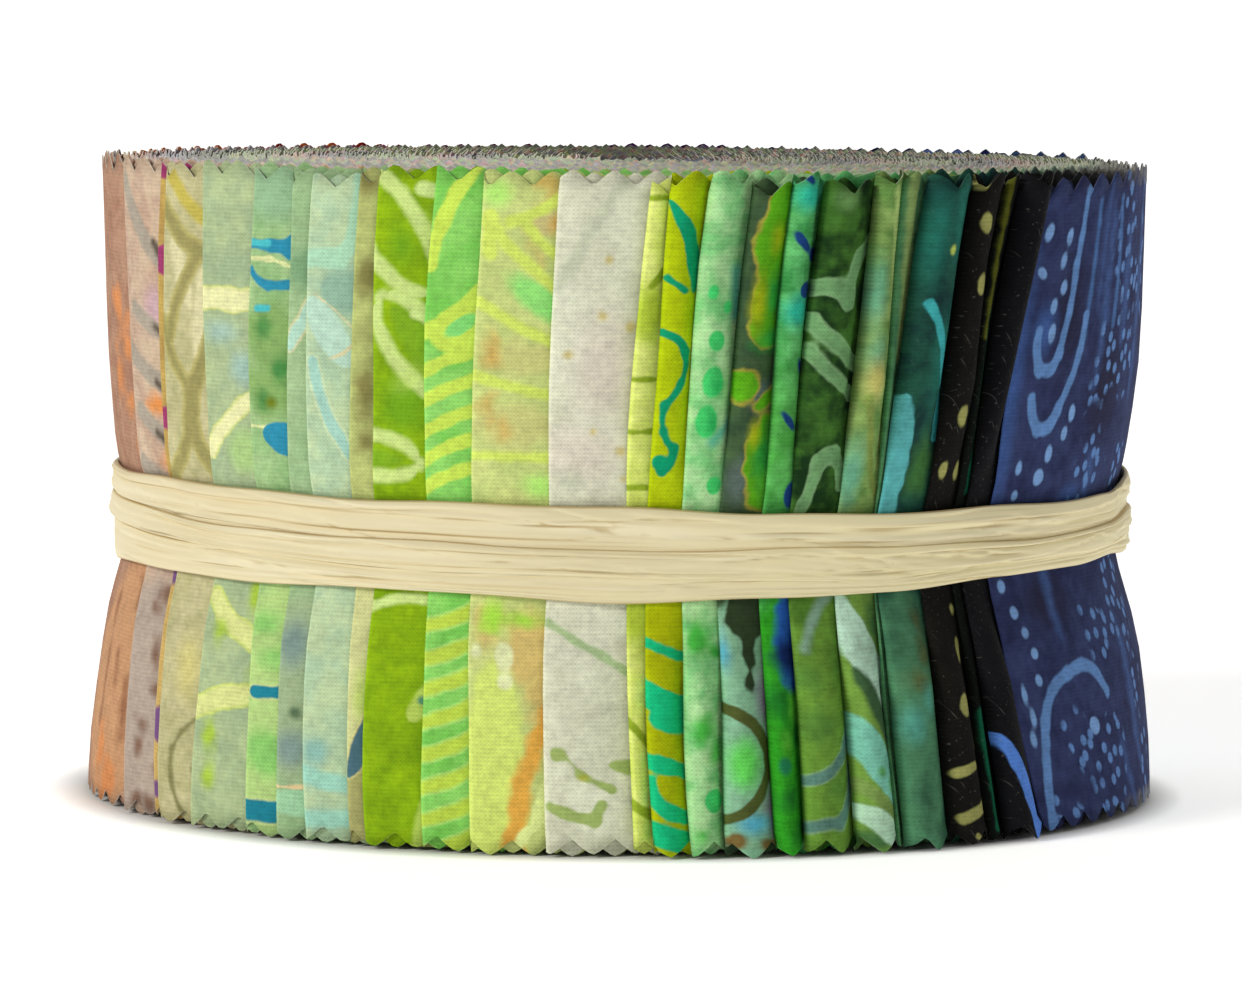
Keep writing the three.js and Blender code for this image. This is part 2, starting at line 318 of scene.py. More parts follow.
    def blotch(self, colour, size, seed, low, high):
        """A dye that has spread softly where a slow noise is high."""
        self.dye(colour, self.noise(size, seed, 1.5, 0.3).between(low, high))

    def lint(self, amount=1.0):
        """Short pale fibres that cling to dark cloth."""
        specks = self.noise(0.3, 48, 1.0, turn=35).between(0.66, 0.76)
        fibres = self.noise(0.22, 49, 0.5, turn=-58, stretch=9.0).between(0.72, 0.84)
        self.fray = 0.06
        self.dye((170, 170, 160), specks.over(fibres), 0.13 * amount)

    def marked(self):
        """What the mesh says of a place: on the cotton how near a cut edge it lies, and on the raffia how
        much painted shade its creases and its edges get.
        """
        return Field(self.tree, self._node("Attribute", {}, attribute_name="cut").outputs["Fac"])

    def weave(self):
        """Threads of a plain weave, uneven dye, a painted highlight along the worn folds, frayed cut edges,
        cut edges deep in the roll made paler with fuzz and with painted light, and the shader's values.
        """
        weft = (self.v * (2 * math.pi / WEFT_PITCH) + self.uneven(2.4, 71, 0.5) * 2.0).sine()
        warp = (self.u * (2 * math.pi / WARP_PITCH) + self.uneven(2.0, 73, 0.5) * 2.0).sine()
        both = warp * weft
        threads = self.noise(0.3, 79, 1.0, stretch=3.0)
        cross = self.noise(0.28, 83, 1.0, turn=90.0, stretch=2.6)
        shade = (threads - 0.5) * 0.3 + (cross - 0.5) * 0.26 + weft * 0.05 + both * 0.07 + 1.0
        shade = shade + self.uneven(2.6, 87, 3.0) * self.mottle + self.uneven(0.9, 88, 2.0) * self.mottle
        edge = self.marked()
        away = abs(self.u)
        # Cut edges deep in the roll are painted pale: partly their fuzz, partly painted light that lifts
        # the shade between the teeth
        self.dye(FUZZ, edge.between(0.1, 0.9) * away.between(*FUZZ_AND_PAINTED_LIGHT_FROM), 0.6)
        frayed = (edge + self.uneven(0.5, 89, 2.0) * 0.3).between(0.8, 0.98)
        # The brightening next to the fold is a painted highlight that also stands for wear there
        shade = shade + frayed * 0.12 + away.between(*FOLD_HIGHLIGHT_AND_WEAR) * 0.12
        self.colour = self._scaled(self.colour, shade)
        self.dye(FUZZ, edge.between(1.05, 1.5), self.fray)
        relief = weft * 0.25 + both * 0.4 + threads * 0.6 + cross * 0.5 + self.noise(0.22, 97) * 0.5
        return self.surface(relief, strength=0.35, depth=0.06, roughness=0.93, shine=0.14)

    def surface(self, relief, strength, depth, roughness, shine):
        """Puts the colour, a relief as deep as given and the surface's values on the shader."""
        inputs = {"Height": relief, "Strength": strength, "Distance": depth * MM}
        bump = self._node("Bump", inputs)
        self.tree.links.new(self.colour, self.shader.inputs["Base Color"])
        self.tree.links.new(bump.outputs[0], self.shader.inputs["Normal"])
        self.shader.inputs["Roughness"].default_value = roughness
        self.shader.inputs["Specular IOR Level"].default_value = shine
        return self.material


def terracotta(cloth):
    cloth.ground((176, 138, 114), (158, 116, 94), 4, 1)
    cloth.draw((192, 146, 108), dots=[(14, 12, 22, 25)], soft=1.5, rough=1.2)
    dabs = [(15.6, 53, 2.6, 2.2), (9.6, 49, 3.4, 3), (13, 47.4, 3, 1.8), (12.2, 45, 4, 2), (9.4, 42, 3, 5)]
    dabs += [(13, 39, 3, 2), (15.2, 35, 3, 3), (14.4, 2.4, 4.6, 4.4), (11, 5.4, 3, 4)]
    cloth.draw((206, 136, 84), dots=dabs, soft=1, rough=1.4)
    darks = [(14.6, 22, 17, 17, 1.3), (15.4, 12, 16.6, 7, 1.6), (12, 14.6, 12.4, 12, 1.2)]
    darks += [(8, 20, 8.6, 8, 1)]
    cloth.draw((140, 92, 66), lines=darks, soft=0.8, rough=0.7, strength=0.8)


def peach(cloth):
    cloth.ground((202, 180, 156), (188, 158, 138), 4, 3)
    cloth.draw((196, 164, 172), dots=[(6.3, 48.8, 4, 4)], soft=1.4)
    cloth.draw((222, 144, 78), dots=[(5.4, 39.6, 3.6, 2.4), (7.2, 34.4, 3, 2.2)], soft=0.7, rough=0.6)
    strokes = [(1, 60.8, 9.4, 52, 1.9, -0.8), (2, 48.8, 9.2, 45.8, 1.7, -0.3)]
    strokes += [(0.6, 44.6, 8.6, 41, 1.9, -0.4), (1.8, 38.8, 9, 35.6, 1.8, -0.3), (1.2, 33.6, 6.2, 31.6, 2)]
    cloth.draw((166, 156, 142), lines=strokes, soft=0.35)
    ends = [(6.4, 55.2, 9.2, 51.8, 0.9), (6, 47, 9, 45.4, 0.9), (5.6, 41.6, 8, 40.4, 0.7)]
    ends += [(5, 36.8, 9, 35, 0.9)]
    cloth.draw((94, 84, 72), lines=ends, soft=0.4)
    cloth.draw((176, 160, 148), dots=[(5, 10.5, 20, 25)], soft=1.5, rough=0.8)
    spots = [(5.2, 15.5, 1.2, 2.2), (5.4, 12.4, 1, 1.4), (3.3, 8.8, 1.4, 1), (2.9, 6.6, 1, 1.4)]
    spots += [(7, 18.6, 1.6, 2), (2.6, 1.6, 1.2, 1.6), (7.4, 8, 1, 1.8), (5.8, 21.4, 3, 1.8)]
    spots += [(4, 19.8, 1.6, 1.2), (6.6, 4.4, 2.2, 3.4), (4.6, 1.4, 1.4, 1.4)]
    cloth.draw((128, 100, 84), dots=spots, soft=0.7, rough=0.8)


def ochre(cloth):
    cloth.ground((192, 164, 90), (176, 144, 82), 4, 6)
    cloth.draw((198, 166, 100), dots=[(2, 12, 12, 22)], soft=0.8)
    cloth.draw((158, 60, 108), dots=[(1.7, 62.4, 6, 2), (1.9, 53.6, 6, 3.2), (1.9, 38.4, 6, 2.6)], soft=0.2)
    cloth.draw((118, 82, 132), dots=[(2.2, 23.4, 6, 2.4), (2.2, 9.2, 6, 3.8), (1.2, 3, 6, 1.8)])


def khaki(cloth):
    cloth.ground((194, 188, 146), (178, 174, 128), 3.5, 8)
    cloth.draw((214, 208, 166), petals=[(1.6, 56, 4.4, 49, 2), (6, 53.4, 5.4, 44, 1.8)], soft=0.5)
    cloth.draw((190, 176, 84), lines=[(1, 62, 7.8, 57, 1.5, -0.6)], soft=0.35)
    lattice = [(0, 59, 5.8, 54.6, 1.3, -0.6), (8.8, 57.4, 5.8, 54.6, 1.3, 0.4)]
    lattice += [(5.8, 54.8, 1.2, 46.4, 1.1, -0.6), (8.2, 52, 4.5, 41.4, 1.5, 0.7)]
    lattice += [(0, 48, 4.5, 41.2, 0.9, -0.5), (4.5, 41.6, 4.2, 38.4, 2), (4.2, 38.6, 0.4, 33, 1.3, 0.6)]
    lattice += [(4.2, 38.6, 8, 33.6, 1.4, -0.6)]
    cloth.draw((152, 146, 92), lines=lattice, soft=0.4, rim=(182, 172, 104), rim_width=0.35)
    arcs = [(7.6, 10.8, 2.3, 7, 0.5, -0.9), (2.3, 7, 3.6, 1, 0.6, -0.7), (7.2, 8.4, 4.9, 5.4, 0.5, -0.4)]
    arcs += [(4.9, 5.4, 6.8, 3, 0.6, -0.3)]
    cloth.draw((136, 132, 88), lines=arcs)
    cloth.draw((216, 206, 124), dots=[(4, 15, 3, 5)], soft=1.4, strength=0.6)


def sage(cloth):
    cloth.ground((176, 192, 146), (156, 176, 140), 3.5, 11)
    cloth.draw((158, 188, 176), dots=[(2.6, 47.2, 3.6, 1.8), (5.4, 43.8, 3, 3)], soft=1)
    bands = [(0.2, 50.3, 9, 50.4, 2), (0.4, 36, 8.6, 42.2, 1.5, 0.6)]
    cloth.draw((226, 226, 172), lines=bands, rough=0.35, rim=(208, 214, 120))
    cloth.draw((168, 200, 132), dots=[(5, 36, 4, 4)], soft=1)
    lower = [(1, 21.8, 8.8, 17.4, 1.9, -0.5), (0.4, 11.6, 9, 13.3, 2, 0.4)]
    cloth.draw((214, 220, 146), lines=lower, soft=0.3, rough=0.3, rim=(196, 212, 96))
    blots = [(6.2, 22.2, 1.6, 3.4), (2.4, 18.6, 1.6, 2), (7.4, 15.6, 1.8, 2.2), (2.3, 9, 1.5, 3)]
    blots += [(2.4, 5, 1.4, 2)]
    cloth.draw((168, 198, 72), dots=blots, soft=0.7, rough=0.6)


def pond(cloth):
    cloth.ground((166, 196, 142), (140, 180, 122), 4, 13)
    cloth.draw((144, 180, 142), dots=[(3, 61, 9, 6)], soft=1.5)
    cloth.draw((132, 168, 100), dots=[(3, 47, 8, 7), (3, 42, 8, 5)], soft=1.4, rough=1.3)
    blots = [(1.8, 48, 1.6, 2), (4, 44, 2, 2.4), (2, 41, 2, 1.6)]
    cloth.draw((74, 138, 72), dots=blots, soft=0.8, rough=0.6)
    cloth.draw((110, 124, 26), dots=[(2.8, 40.8, 1.1, 1.1)], soft=0.5)
    thread = [(-0.5, 54.4, 2.4, 54.3, 0.3), (2.4, 54.3, 7, 52.2, 0.3, 0.3)]
    cloth.draw((214, 220, 160), lines=thread, soft=0.12)
    cloth.draw((214, 220, 160), lines=[(-0.5, 38.6, 3, 38.4, 0.3), (3, 38.4, 7, 38.8, 0.3)], soft=0.12)
    blue = [(-0.5, 55.7, 2.6, 55.6, 0.9), (2.6, 55.6, 7, 57.6, 0.8, -0.3), (2.6, 55.6, 7, 53, 0.8, 0.3)]
    blue += [(0.2, 53.2, 2.4, 51.8, 0.8, -0.2), (2.4, 51.8, 6.5, 51.8, 0.9, 0.1), (4.6, 55.4, 8, 55.4, 1.6)]
    leaves = [(4, 55.6, 9, 55.2, 3), (1.6, 38, 8.5, 36.4, 3.2)]
    cloth.draw((46, 140, 172), lines=blue, petals=leaves, soft=0.15)
    cloth.draw((74, 184, 192), lines=[(1.2, 49.6, 2.4, 49.7, 0.8), (0.3, 55.8, 2, 55.8, 0.7)], soft=0.2)
    cloth.draw((178, 208, 132), dots=[(3, 12, 12, 24)], soft=0.8)
    cloth.draw((140, 200, 110), dots=[(3.2, 17, 3, 2), (2.4, 8, 5, 4), (1.5, 20, 3, 2)], soft=1, rough=0.6)
    lower = [(0.8, 13.6, 5.6, 13.8, 1.1), (-0.6, 2.6, 5, 2.4, 2), (4.3, 10.4, 4.6, 10.6, 0.7)]
    cloth.draw((32, 130, 152), lines=lower, soft=0.15, rim=(206, 220, 150))


def celery(cloth):
    cloth.ground((162, 190, 144), (146, 178, 132), 6, 16)
    cloth.draw((124, 162, 122), dots=[(2, 53.6, 5, 3.6)], soft=1.2)
    cloth.draw((176, 214, 196), lines=[(0.4, 46.4, 4.2, 53.4, 1.2)], soft=0.2, rim=(220, 208, 162))
    cloth.draw((156, 176, 138), dots=[(2.5, 14, 9, 18)], soft=1)
    cloth.draw((128, 152, 146), dots=[(1.4, 18.4, 3, 4), (1.6, 8.6, 3.4, 3)], soft=1.1)
    cloth.draw((88, 112, 84), dots=[(3.8, 12.8, 1.2, 0.8), (1.9, 12, 1.1, 1)], soft=0.5, rough=0.4)
    cloth.draw((160, 206, 166), dots=[(2.5, 3.6, 8, 2.6)], soft=0.3)
    cloth.draw((224, 196, 150), lines=[(-0.5, 5, 6, 5.2, 0.28)], soft=0.15)


def mint(cloth):
    cloth.ground((188, 208, 166), (170, 198, 166), 4, 18)
    shape = [(0, 54.6, 3.2, 54.4, 1.8, 0.2), (3.2, 54.6, 4.8, 58.6, 1.6, -0.6), (4.8, 58.6, 5, 63, 1.3)]
    cloth.draw((170, 214, 184), lines=shape)
    cloth.draw((144, 180, 158), petals=[(1.6, 52, 7, 50.8, 4.4)], soft=0.9, rough=0.6)
    cloth.draw((182, 214, 196), petals=[(0.4, 51, 4.6, 44.6, 3)])
    line = [(1, 51.2, 5.4, 47.4, 0.2, 0.3), (5.4, 47.4, 2.4, 45.2, 0.2, 0.4)]
    cloth.draw((216, 208, 164), lines=line, soft=0.12)
    cloth.draw((162, 206, 192), lines=[(0.9, 45, 5.6, 35, 1.1, -0.8)], soft=0.2, rim=(206, 220, 176))
    cloth.draw((156, 208, 190), lines=[(-1, 7, 7, 5.8, 1.7, -0.6), (-1, 2.3, 7, 2.6, 1.6)], soft=0.35)
    cloth.draw((140, 186, 176), dots=[(1.4, 8.6, 2.6, 2.4)], soft=0.9)


def olive(cloth):
    cloth.ground((186, 196, 122), (166, 172, 106), 3, 20)
    darks = [(1, 62, 2, 3), (1.5, 53, 2, 3), (1.8, 42.4, 2, 5), (1.7, 37.8, 1.8, 2.6)]
    cloth.draw((132, 128, 74), dots=darks, soft=0.9, rough=0.6)
    cloth.draw((206, 208, 148), dots=[(1.6, 16, 9, 18)], soft=1.2)
    cloth.draw((182, 202, 106), dots=[(2, 14, 2.4, 5)], soft=0.9)
    cloth.draw((168, 166, 108), dots=[(1.6, 3.4, 9, 8)], soft=0.4)
    cloth.draw((74, 108, 122), petals=[(4, 15, 0.2, 6.4, 1.9)], soft=0.15, rim=(214, 206, 140))


def lime(cloth):
    cloth.ground((146, 184, 20), (122, 160, 18), 3.5, 21)
    blots = [(4.4, 47, 2, 2.6), (3, 41, 4, 5), (2.8, 56, 2, 2.6)]
    cloth.draw((112, 164, 28), dots=blots, soft=1.2, rough=0.8)
    cloth.draw((124, 168, 34), petals=[(2, 50.4, 7.6, 43.6, 2.8), (-3, 36.6, 3, 36, 1.8)], soft=0.5)
    outlines = [(-1.8, 62.8, 5.8, 51.8, 5.4, -0.3, 1.4), (1, 51.2, 8.6, 42, 5, -0.2, 1.4)]
    outlines += [(-5, 37, 4.6, 35.8, 3.8, 0.1, 1.3)]
    cloth.draw((198, 219, 134), rings=outlines, soft=0.35)
    marks = [(4.1, 49.6, 6.4, 47.4, 0.9, 0.5), (4.3, 61.2, 7, 60.8, 1.3), (-0.4, 22.2, 6.8, 23, 0.9, 0.5)]
    cloth.draw((202, 223, 142), lines=marks)
    cloth.draw((186, 212, 104), dots=[(3.6, 43.6, 2.4, 1.4, 40), (5.4, 57.6, 1, 2)], soft=0.9, strength=0.5)
    cloth.draw((184, 208, 96), petals=[(8, 16.4, 4.4, 12, 2.2), (7, 7, 4.4, -2, 1.9)])
    cloth.draw((92, 150, 116), dots=[(5.5, 13.8, 0.9, 0.8)])


def apple(cloth):
    cloth.ground((118, 196, 84), (144, 212, 106), 4, 23)
    band = (196, 223, 88)
    cloth.draw(band, lines=[(3.9, 64, 0.2, 54.4, 1.5, -0.6), (6, 53, -0.6, 47.8, 1.5, 0.6)], soft=0.2)
    cloth.draw(band, dots=[(3.4, 48.6, 6, 4.2, 30)], soft=0.2)
    cloth.draw((130, 214, 116), dots=[(3.6, 48.8, 3.4, 1.5, 30)], soft=0.15)
    rising = [(-0.6, height, 6.2, height + 2.8, 1.25, 0.35) for height in (44, 41.2, 38.4, 35.8, 33.2)]
    cloth.draw(band, lines=rising, soft=0.18)
    heights = (20.6, 17.6, 14.8, 11.8, 8.8, 5.8, 2.8, -0.2)
    rising = [(-0.6, height, 6.2, height + 3, 1.3, -0.5) for height in heights]
    cloth.draw((188, 214, 78), lines=rising, soft=0.3, rim=(170, 224, 128))


def lemon(cloth):
    cloth.ground((204, 214, 136), (186, 202, 124), 3.5, 25)
    cloth.draw((176, 228, 116), dots=[(1.4, 61, 2.4, 2.4), (6.6, 34, 3, 2)], soft=0.9)
    cloth.draw((146, 222, 120), dots=[(6, 51.2, 7, 2.6, -35)], soft=0.5)
    shades = [(4.6, 45.8, 7, 3.4, -10), (4.4, 39.6, 7.6, 4)]
    cloth.draw((200, 196, 128), dots=shades, soft=0.9, rough=0.8, strength=0.75)
    cloth.draw((200, 190, 130), dots=[(5.6, 58.2, 3.4, 2.2, 20)], soft=0.5)
    blots = [(6.9, 60.8, 2, 0.9, 20), (7.2, 58.2, 1.3, 1.8), (5.2, 55.5, 0.8, 1.6, 40)]
    blots += [(1.8, 46.4, 1.6, 2.4), (1.6, 41, 1.5, 2.8), (3, 39.7, 1, 1.4), (5.2, 62, 2, 0.8)]
    cloth.draw((210, 158, 74), dots=blots, soft=0.9, rough=0.9, strength=0.7)
    veins = [(1, 58, 9, 51, 1.1, -0.3), (2.8, 58.4, 7.6, 61, 1.1, -0.3), (4.4, 58, 8.6, 54.6, 1, -0.4)]
    veins += [(0.4, 51, 9, 46.6, 1.1, -0.3), (0.2, 44.2, 9, 42.2, 1, -0.2), (-0.4, 36.8, 8.8, 36.6, 0.9)]
    veins += [(0.9, 58.8, 1, 55.6, 1.5)]
    cloth.draw((206, 224, 104), lines=veins, soft=0.3)
    blots = [(5.8, 19, 5, 7), (6.8, 14.6, 3, 5), (2, 21, 3, 3)]
    cloth.draw((216, 182, 112), dots=blots, soft=0.9, rough=0.9, strength=0.8)
    blots = [(2.2, 21.8, 2, 2.6), (5.4, 21.6, 3.4, 1.4), (2.6, 14.4, 2, 3)]
    cloth.draw((166, 220, 74), dots=blots, soft=0.7, rough=0.7)
    cloth.draw((210, 226, 118), petals=[(2.4, 18, 2.4, -6, 5.8)], soft=0.6, rough=0.5)
    cloth.draw((226, 232, 180), dots=[(3.5, 18.2, 1.7, 2.6), (3.5, 16, 1.4, 1.5), (0.8, 18.8, 0.9, 1.4)])
    cloth.draw((222, 168, 74), lines=[(7.4, 13, 3.9, 0.2, 1.8, -0.7)], soft=0.4, rough=0.6)
    cloth.draw((224, 236, 156), petals=[(8.6, 9.4, 5.6, 2.2, 1.6), (5.4, 2.8, 3.8, 0, 1.1)], soft=0.2)


def ivory(cloth):
    cloth.ground((222, 224, 202), (208, 209, 186), 6, 28)
    cloth.draw((216, 202, 190), dots=[(5, 45, 5, 9), (3, 37, 7, 5)], soft=2, strength=0.7)
    cloth.draw((184, 192, 166), lines=[(6.6, 63, 0.6, 52.4, 1.1, -0.3)], soft=0.5, strength=0.6)
    specks = [(4.7, 49.8, 0.8, 0.8), (1.7, 46.2, 0.9, 0.8), (6.7, 37.4, 0.8, 0.8), (7, 34.8, 0.6, 0.5)]
    specks += [(7.3, 48.8, 0.8, 0.9), (4.2, 39.2, 0.5, 0.5), (5, 55, 0.6, 0.6)]
    cloth.draw((204, 184, 96), dots=specks, soft=0.35, strength=0.75)
    cloth.draw((176, 184, 160), dots=[(2, 34.6, 2.4, 2)], soft=1, strength=0.6)
    cloth.draw((170, 193, 144), lines=[(0.3, 21.4, 9, 16.2, 0.75, 0.1)], soft=0.2)
    marks = [(1.3, 9.5, 1.5, 9.5, 1.2), (2.1, 9.2, 3.4, 7.8, 0.4), (3.2, 7.7, 6.1, 6.2, 0.75)]
    marks += [(0.6, 4.7, 4.4, 3.4, 1.1, -0.2), (4.4, 3.4, 5.1, 5, 0.9), (8, 5, 9, 4.8, 0.7)]
    cloth.draw((160, 180, 106), lines=marks, petals=[(10, 8, 5.8, 8.5, 1.5)], soft=0.18, rough=0.3)
    cloth.draw((176, 170, 40), dots=[(3.6, 7.4, 1, 0.6)], soft=0.3, strength=0.7)


def citrus(cloth):
    cloth.ground((224, 234, 134), (204, 220, 102), 3, 31)
    cloth.draw((176, 198, 62), dots=[(1, 50, 4, 5), (1, 22, 4, 5)], soft=1.1)
    marks = [(-0.4, 60.7, 3, 60.7, 0.55), (1, 52.6, 3, 55, 0.7), (-0.4, 44, 3, 44.1, 0.42)]
    marks += [(-0.4, 39.2, 3, 39.2, 0.5), (-0.4, 34, 3, 34, 0.6), (0, 12.6, 3, 9, 0.8)]
    marks += [(-0.4, 5.2, 3, 3.2, 1)]
    cloth.draw((144, 168, 44), lines=marks, soft=0.15)


def chartreuse(cloth):
    cloth.ground((182, 201, 14), (170, 190, 8), 6, 33)
    squiggle = [(0.3, 53.4, 2, 52.3, 0.6), (0.2, 48.4, 2.4, 46.6, 0.75, 0.4)]
    squiggle += [(2.4, 46.6, 0.9, 41.7, 0.7, 0.7), (0.9, 41.7, 1, 39.3, 0.7, -0.2)]
    squiggle += [(1, 39.3, 2.1, 37.6, 0.65, -0.2), (2.1, 37.6, 1.2, 35.6, 0.9, 0.3)]
    squiggle += [(0.8, 36.5, 1.2, 36.2, 1.4), (3.9, 52.4, 3.9, 50.8, 0.9), (3.8, 48.4, 3.8, 45.4, 0.8)]
    teal_green = (10, 152, 108)
    cloth.draw(teal_green, lines=squiggle, petals=[(0, 60.6, 2.9, 52, 1.4, 0.9)], soft=0.12)
    cloth.draw((170, 180, 6), dots=[(2, 12, 12, 23)], soft=0.8)
    lower = [(0, 19.8, 5, 18, 0.85, -0.1), (-0.6, 15.6, 5, 13.4, 2.6, -0.4), (1.4, 13, 4.6, 12.4, 2.4)]
    lower += [(-0.6, 9, 4.8, 7.2, 1.5, 0.4), (0, 7, 3, 3.8, 1.6, -0.8), (-0.6, 2.6, 4.6, 0.6, 2.2, 0.3)]
    cloth.draw((22, 188, 128), lines=lower, soft=0.15, rough=0.35)


def seafoam(cloth):
    cloth.mottle = 0.5
    cloth.ground((176, 222, 160), (116, 194, 120), 3, 35)
    cloth.draw((92, 182, 152), lines=[(2.4, 38.4, 4, 40, 0.9), (3.6, 54, 4, 50, 1.2)], soft=0.7)
    spots = [(1.3, 52.2, 0.9, 1.3), (2.9, 50.8, 1, 1.2), (2, 47.7, 1.6, 2), (1.9, 43.9, 2, 2.9)]
    spots += [(1.6, 40.2, 2, 3), (2.9, 34.2, 1.5, 1.7), (2.4, 5.4, 1.9, 2.2)]
    cloth.draw((68, 204, 108), dots=spots, soft=0.14, rough=0.12)
    cloth.draw((44, 176, 90), dots=[(2.4, 43.4, 1, 1.6), (2.2, 40, 1, 1.6)], soft=0.6)
    blots = [(1.3, 20.2, 2, 3), (2.9, 18.8, 1.4, 1.4), (1.6, 12, 1.6, 2.6), (3, 10, 1.4, 2)]
    blots += [(1, 2.4, 1.2, 1)]
    cloth.draw((74, 184, 70), dots=blots, soft=0.7, rough=0.6)


def moss(cloth):
    cloth.mottle = 0.6
    cloth.ground((72, 98, 62), (54, 78, 54), 3.5, 37)
    cloth.draw((88, 104, 98), dots=[(3, 42.4, 3, 3), (1.4, 34.6, 2, 4)], soft=0.8)
    body = [(2.9, 65, 2.6, 57, 2.6), (2.6, 57, 3, 49, 4, 0.5), (2.6, 41.6, 5.4, 43, 1.1, 0.3)]
    ovals = [(0.9, 43.5, 2.8, 2.9), (4, 36.6, 4.4, 8.6)]
    ochre_rim = (170, 160, 62)
    cloth.draw((90, 166, 24), lines=body, dots=ovals, soft=0.2, rough=0.5, rim=ochre_rim, rim_width=0.26)
    blots = [(4, 52, 2.6, 4), (3.6, 47.8, 3, 2), (4.2, 37, 2.4, 6)]
    cloth.draw((50, 158, 62), dots=blots, soft=1, rough=0.8)
    cloth.draw((166, 178, 22), dots=[(1.6, 51, 1.4, 4), (3, 57, 1.2, 2), (2.4, 39, 1, 2)], soft=0.7)
    cloth.draw((136, 186, 152), dots=[(3, 12, 12, 24.5)], soft=0.3)
    cloth.draw((146, 128, 160), dots=[(4.4, 15, 2.4, 5), (4.8, 4, 2.6, 4)], soft=1)
    cloth.draw((106, 222, 96), dots=[(1.8, 8.8, 2.8, 4.4)], soft=0.9)
    cloth.draw((92, 182, 210), dots=[(2.6, 3.2, 3, 1.8), (0.2, 19, 1, 2.4)], soft=0.7)
    ring = [(-0.2, 13.9, 4.4, 8.7, 1.1, 1.1), (4.4, 8.7, -0.2, 3.6, 1.1, 1.1)]
    cloth.draw((82, 92, 44), lines=ring, soft=0.15)
    stem = [(2.7, 21, 2.6, 16, 1.1)]
    cloth.draw((46, 62, 38), dots=[(2.8, 22.6, 4.6, 5.4)], lines=stem, soft=0.2, rough=0.5)
    cloth.draw((122, 100, 56), dots=[(0.9, 1.9, 1.8, 1.4), (4.2, 1.2, 1.8, 1.2)], soft=0.3, rough=0.5)


def emerald(cloth):
    cloth.mottle = 0.7
    cloth.ground((104, 190, 116), (60, 146, 76), 2.6, 39)
    cloth.draw((80, 164, 58), dots=[(2, 38, 9, 15)], soft=3, strength=0.6)
    cloth.draw((44, 176, 148), dots=[(1.6, 61, 3, 2.6), (1.6, 50.4, 2.6, 3)], soft=0.9)
    dashes = [(1.1, 56.8, 2.2, 0.75, -52), (2.8, 55.5, 1.3, 1.4), (2.2, 52.3, 1.5, 1.5)]
    dashes += [(2.7, 44.8, 2.3, 0.75, -62), (1.5, 40.2, 2.3, 0.75, -48), (2.6, 33.2, 1.4, 2.6)]
    dashes += [(1, 62.6, 1.4, 0.7, -40)]
    cloth.draw((24, 62, 122), dots=dashes, soft=0.12, rough=0.15)
    cloth.draw((46, 152, 32), dots=[(2, 10, 10, 29)], soft=0.8)
    shades = [(1.1, 14.6, 2, 3), (3.2, 11.4, 2, 2.4), (1.2, 5.4, 2, 2.2), (3, 2.6, 3, 2.4)]
    cloth.draw((24, 108, 38), dots=shades, soft=0.9, rough=1, strength=0.8)
    lights = [(2.6, 14, 1.4, 2.6), (1.6, 10.6, 1, 1.6)]
    cloth.draw((98, 190, 58), dots=lights, soft=0.6, rough=0.6, strength=0.7)
    cloth.draw((34, 86, 168), dots=[(3, 19.6, 3.4, 8.6)], soft=0.5, rough=0.6)
    cloth.draw((18, 42, 104), dots=[(2.4, 18.4, 3, 2.6)], soft=0.9)
    cloth.draw((34, 128, 84), dots=[(1.1, 8.5, 1.3, 1.4)], soft=0.3)


def forest(cloth):
    cloth.fray = 0.12
    cloth.mottle = 0.7
    cloth.ground((66, 112, 42), (20, 50, 20), 3.2, 41)
    cloth.draw((104, 146, 84), dots=[(1.9, 60.8, 2, 2)], soft=0.9)
    scroll = [(7, 58.4, 4.3, 55.4, 1.1, 0.4), (4.3, 55.4, 3.2, 51.4, 1.2, -0.3)]
    scroll += [(3.2, 51.4, -0.2, 52.4, 1.5, -0.7), (0.2, 49.5, 6.6, 45, 1.2, -0.4)]
    scroll += [(0.2, 46.8, 6, 42.4, 1, -0.4), (0.9, 31.6, 2.3, 36.3, 1, -0.2)]
    scroll += [(2.3, 36.3, 4, 36.9, 1.2, 0.4), (4, 36.9, 5.2, 34, 1, 0.3)]
    cloth.draw((110, 156, 104), lines=scroll, rim=(140, 182, 130), rim_width=0.15, joint=1.4)
    cloth.draw((106, 150, 56), dots=[(3, 11, 14, 27)], soft=1, rough=0.8)
    shades = [(4.8, 17, 2, 4), (1.2, 12, 3, 3), (3.4, 6, 3, 2), (1, 16.6, 2, 2)]
    cloth.draw((76, 122, 52), dots=shades, soft=1.2, rough=1.4, strength=0.7)
    cloth.draw((74, 116, 40), dots=[(1.4, 22.4, 2.6, 3.6), (5.4, 20, 1.4, 5)], soft=0.9)
    cloth.draw((126, 160, 138), lines=[(4.4, 24, 0.9, 19.2, 1, -0.4)], soft=0.4)
    lower = [(5.8, 15.4, 4.4, 10.2, 1, 0.5), (4.4, 10.2, -0.2, 7, 1, 0.7), (-0.2, 2.6, 3.2, 3, 1.1, 0.2)]
    lower += [(3.2, 3, 5.2, 8, 1.1, -0.5)]
    cloth.draw((92, 134, 122), lines=lower, soft=0.2, rim=(142, 178, 132), rim_width=0.14)


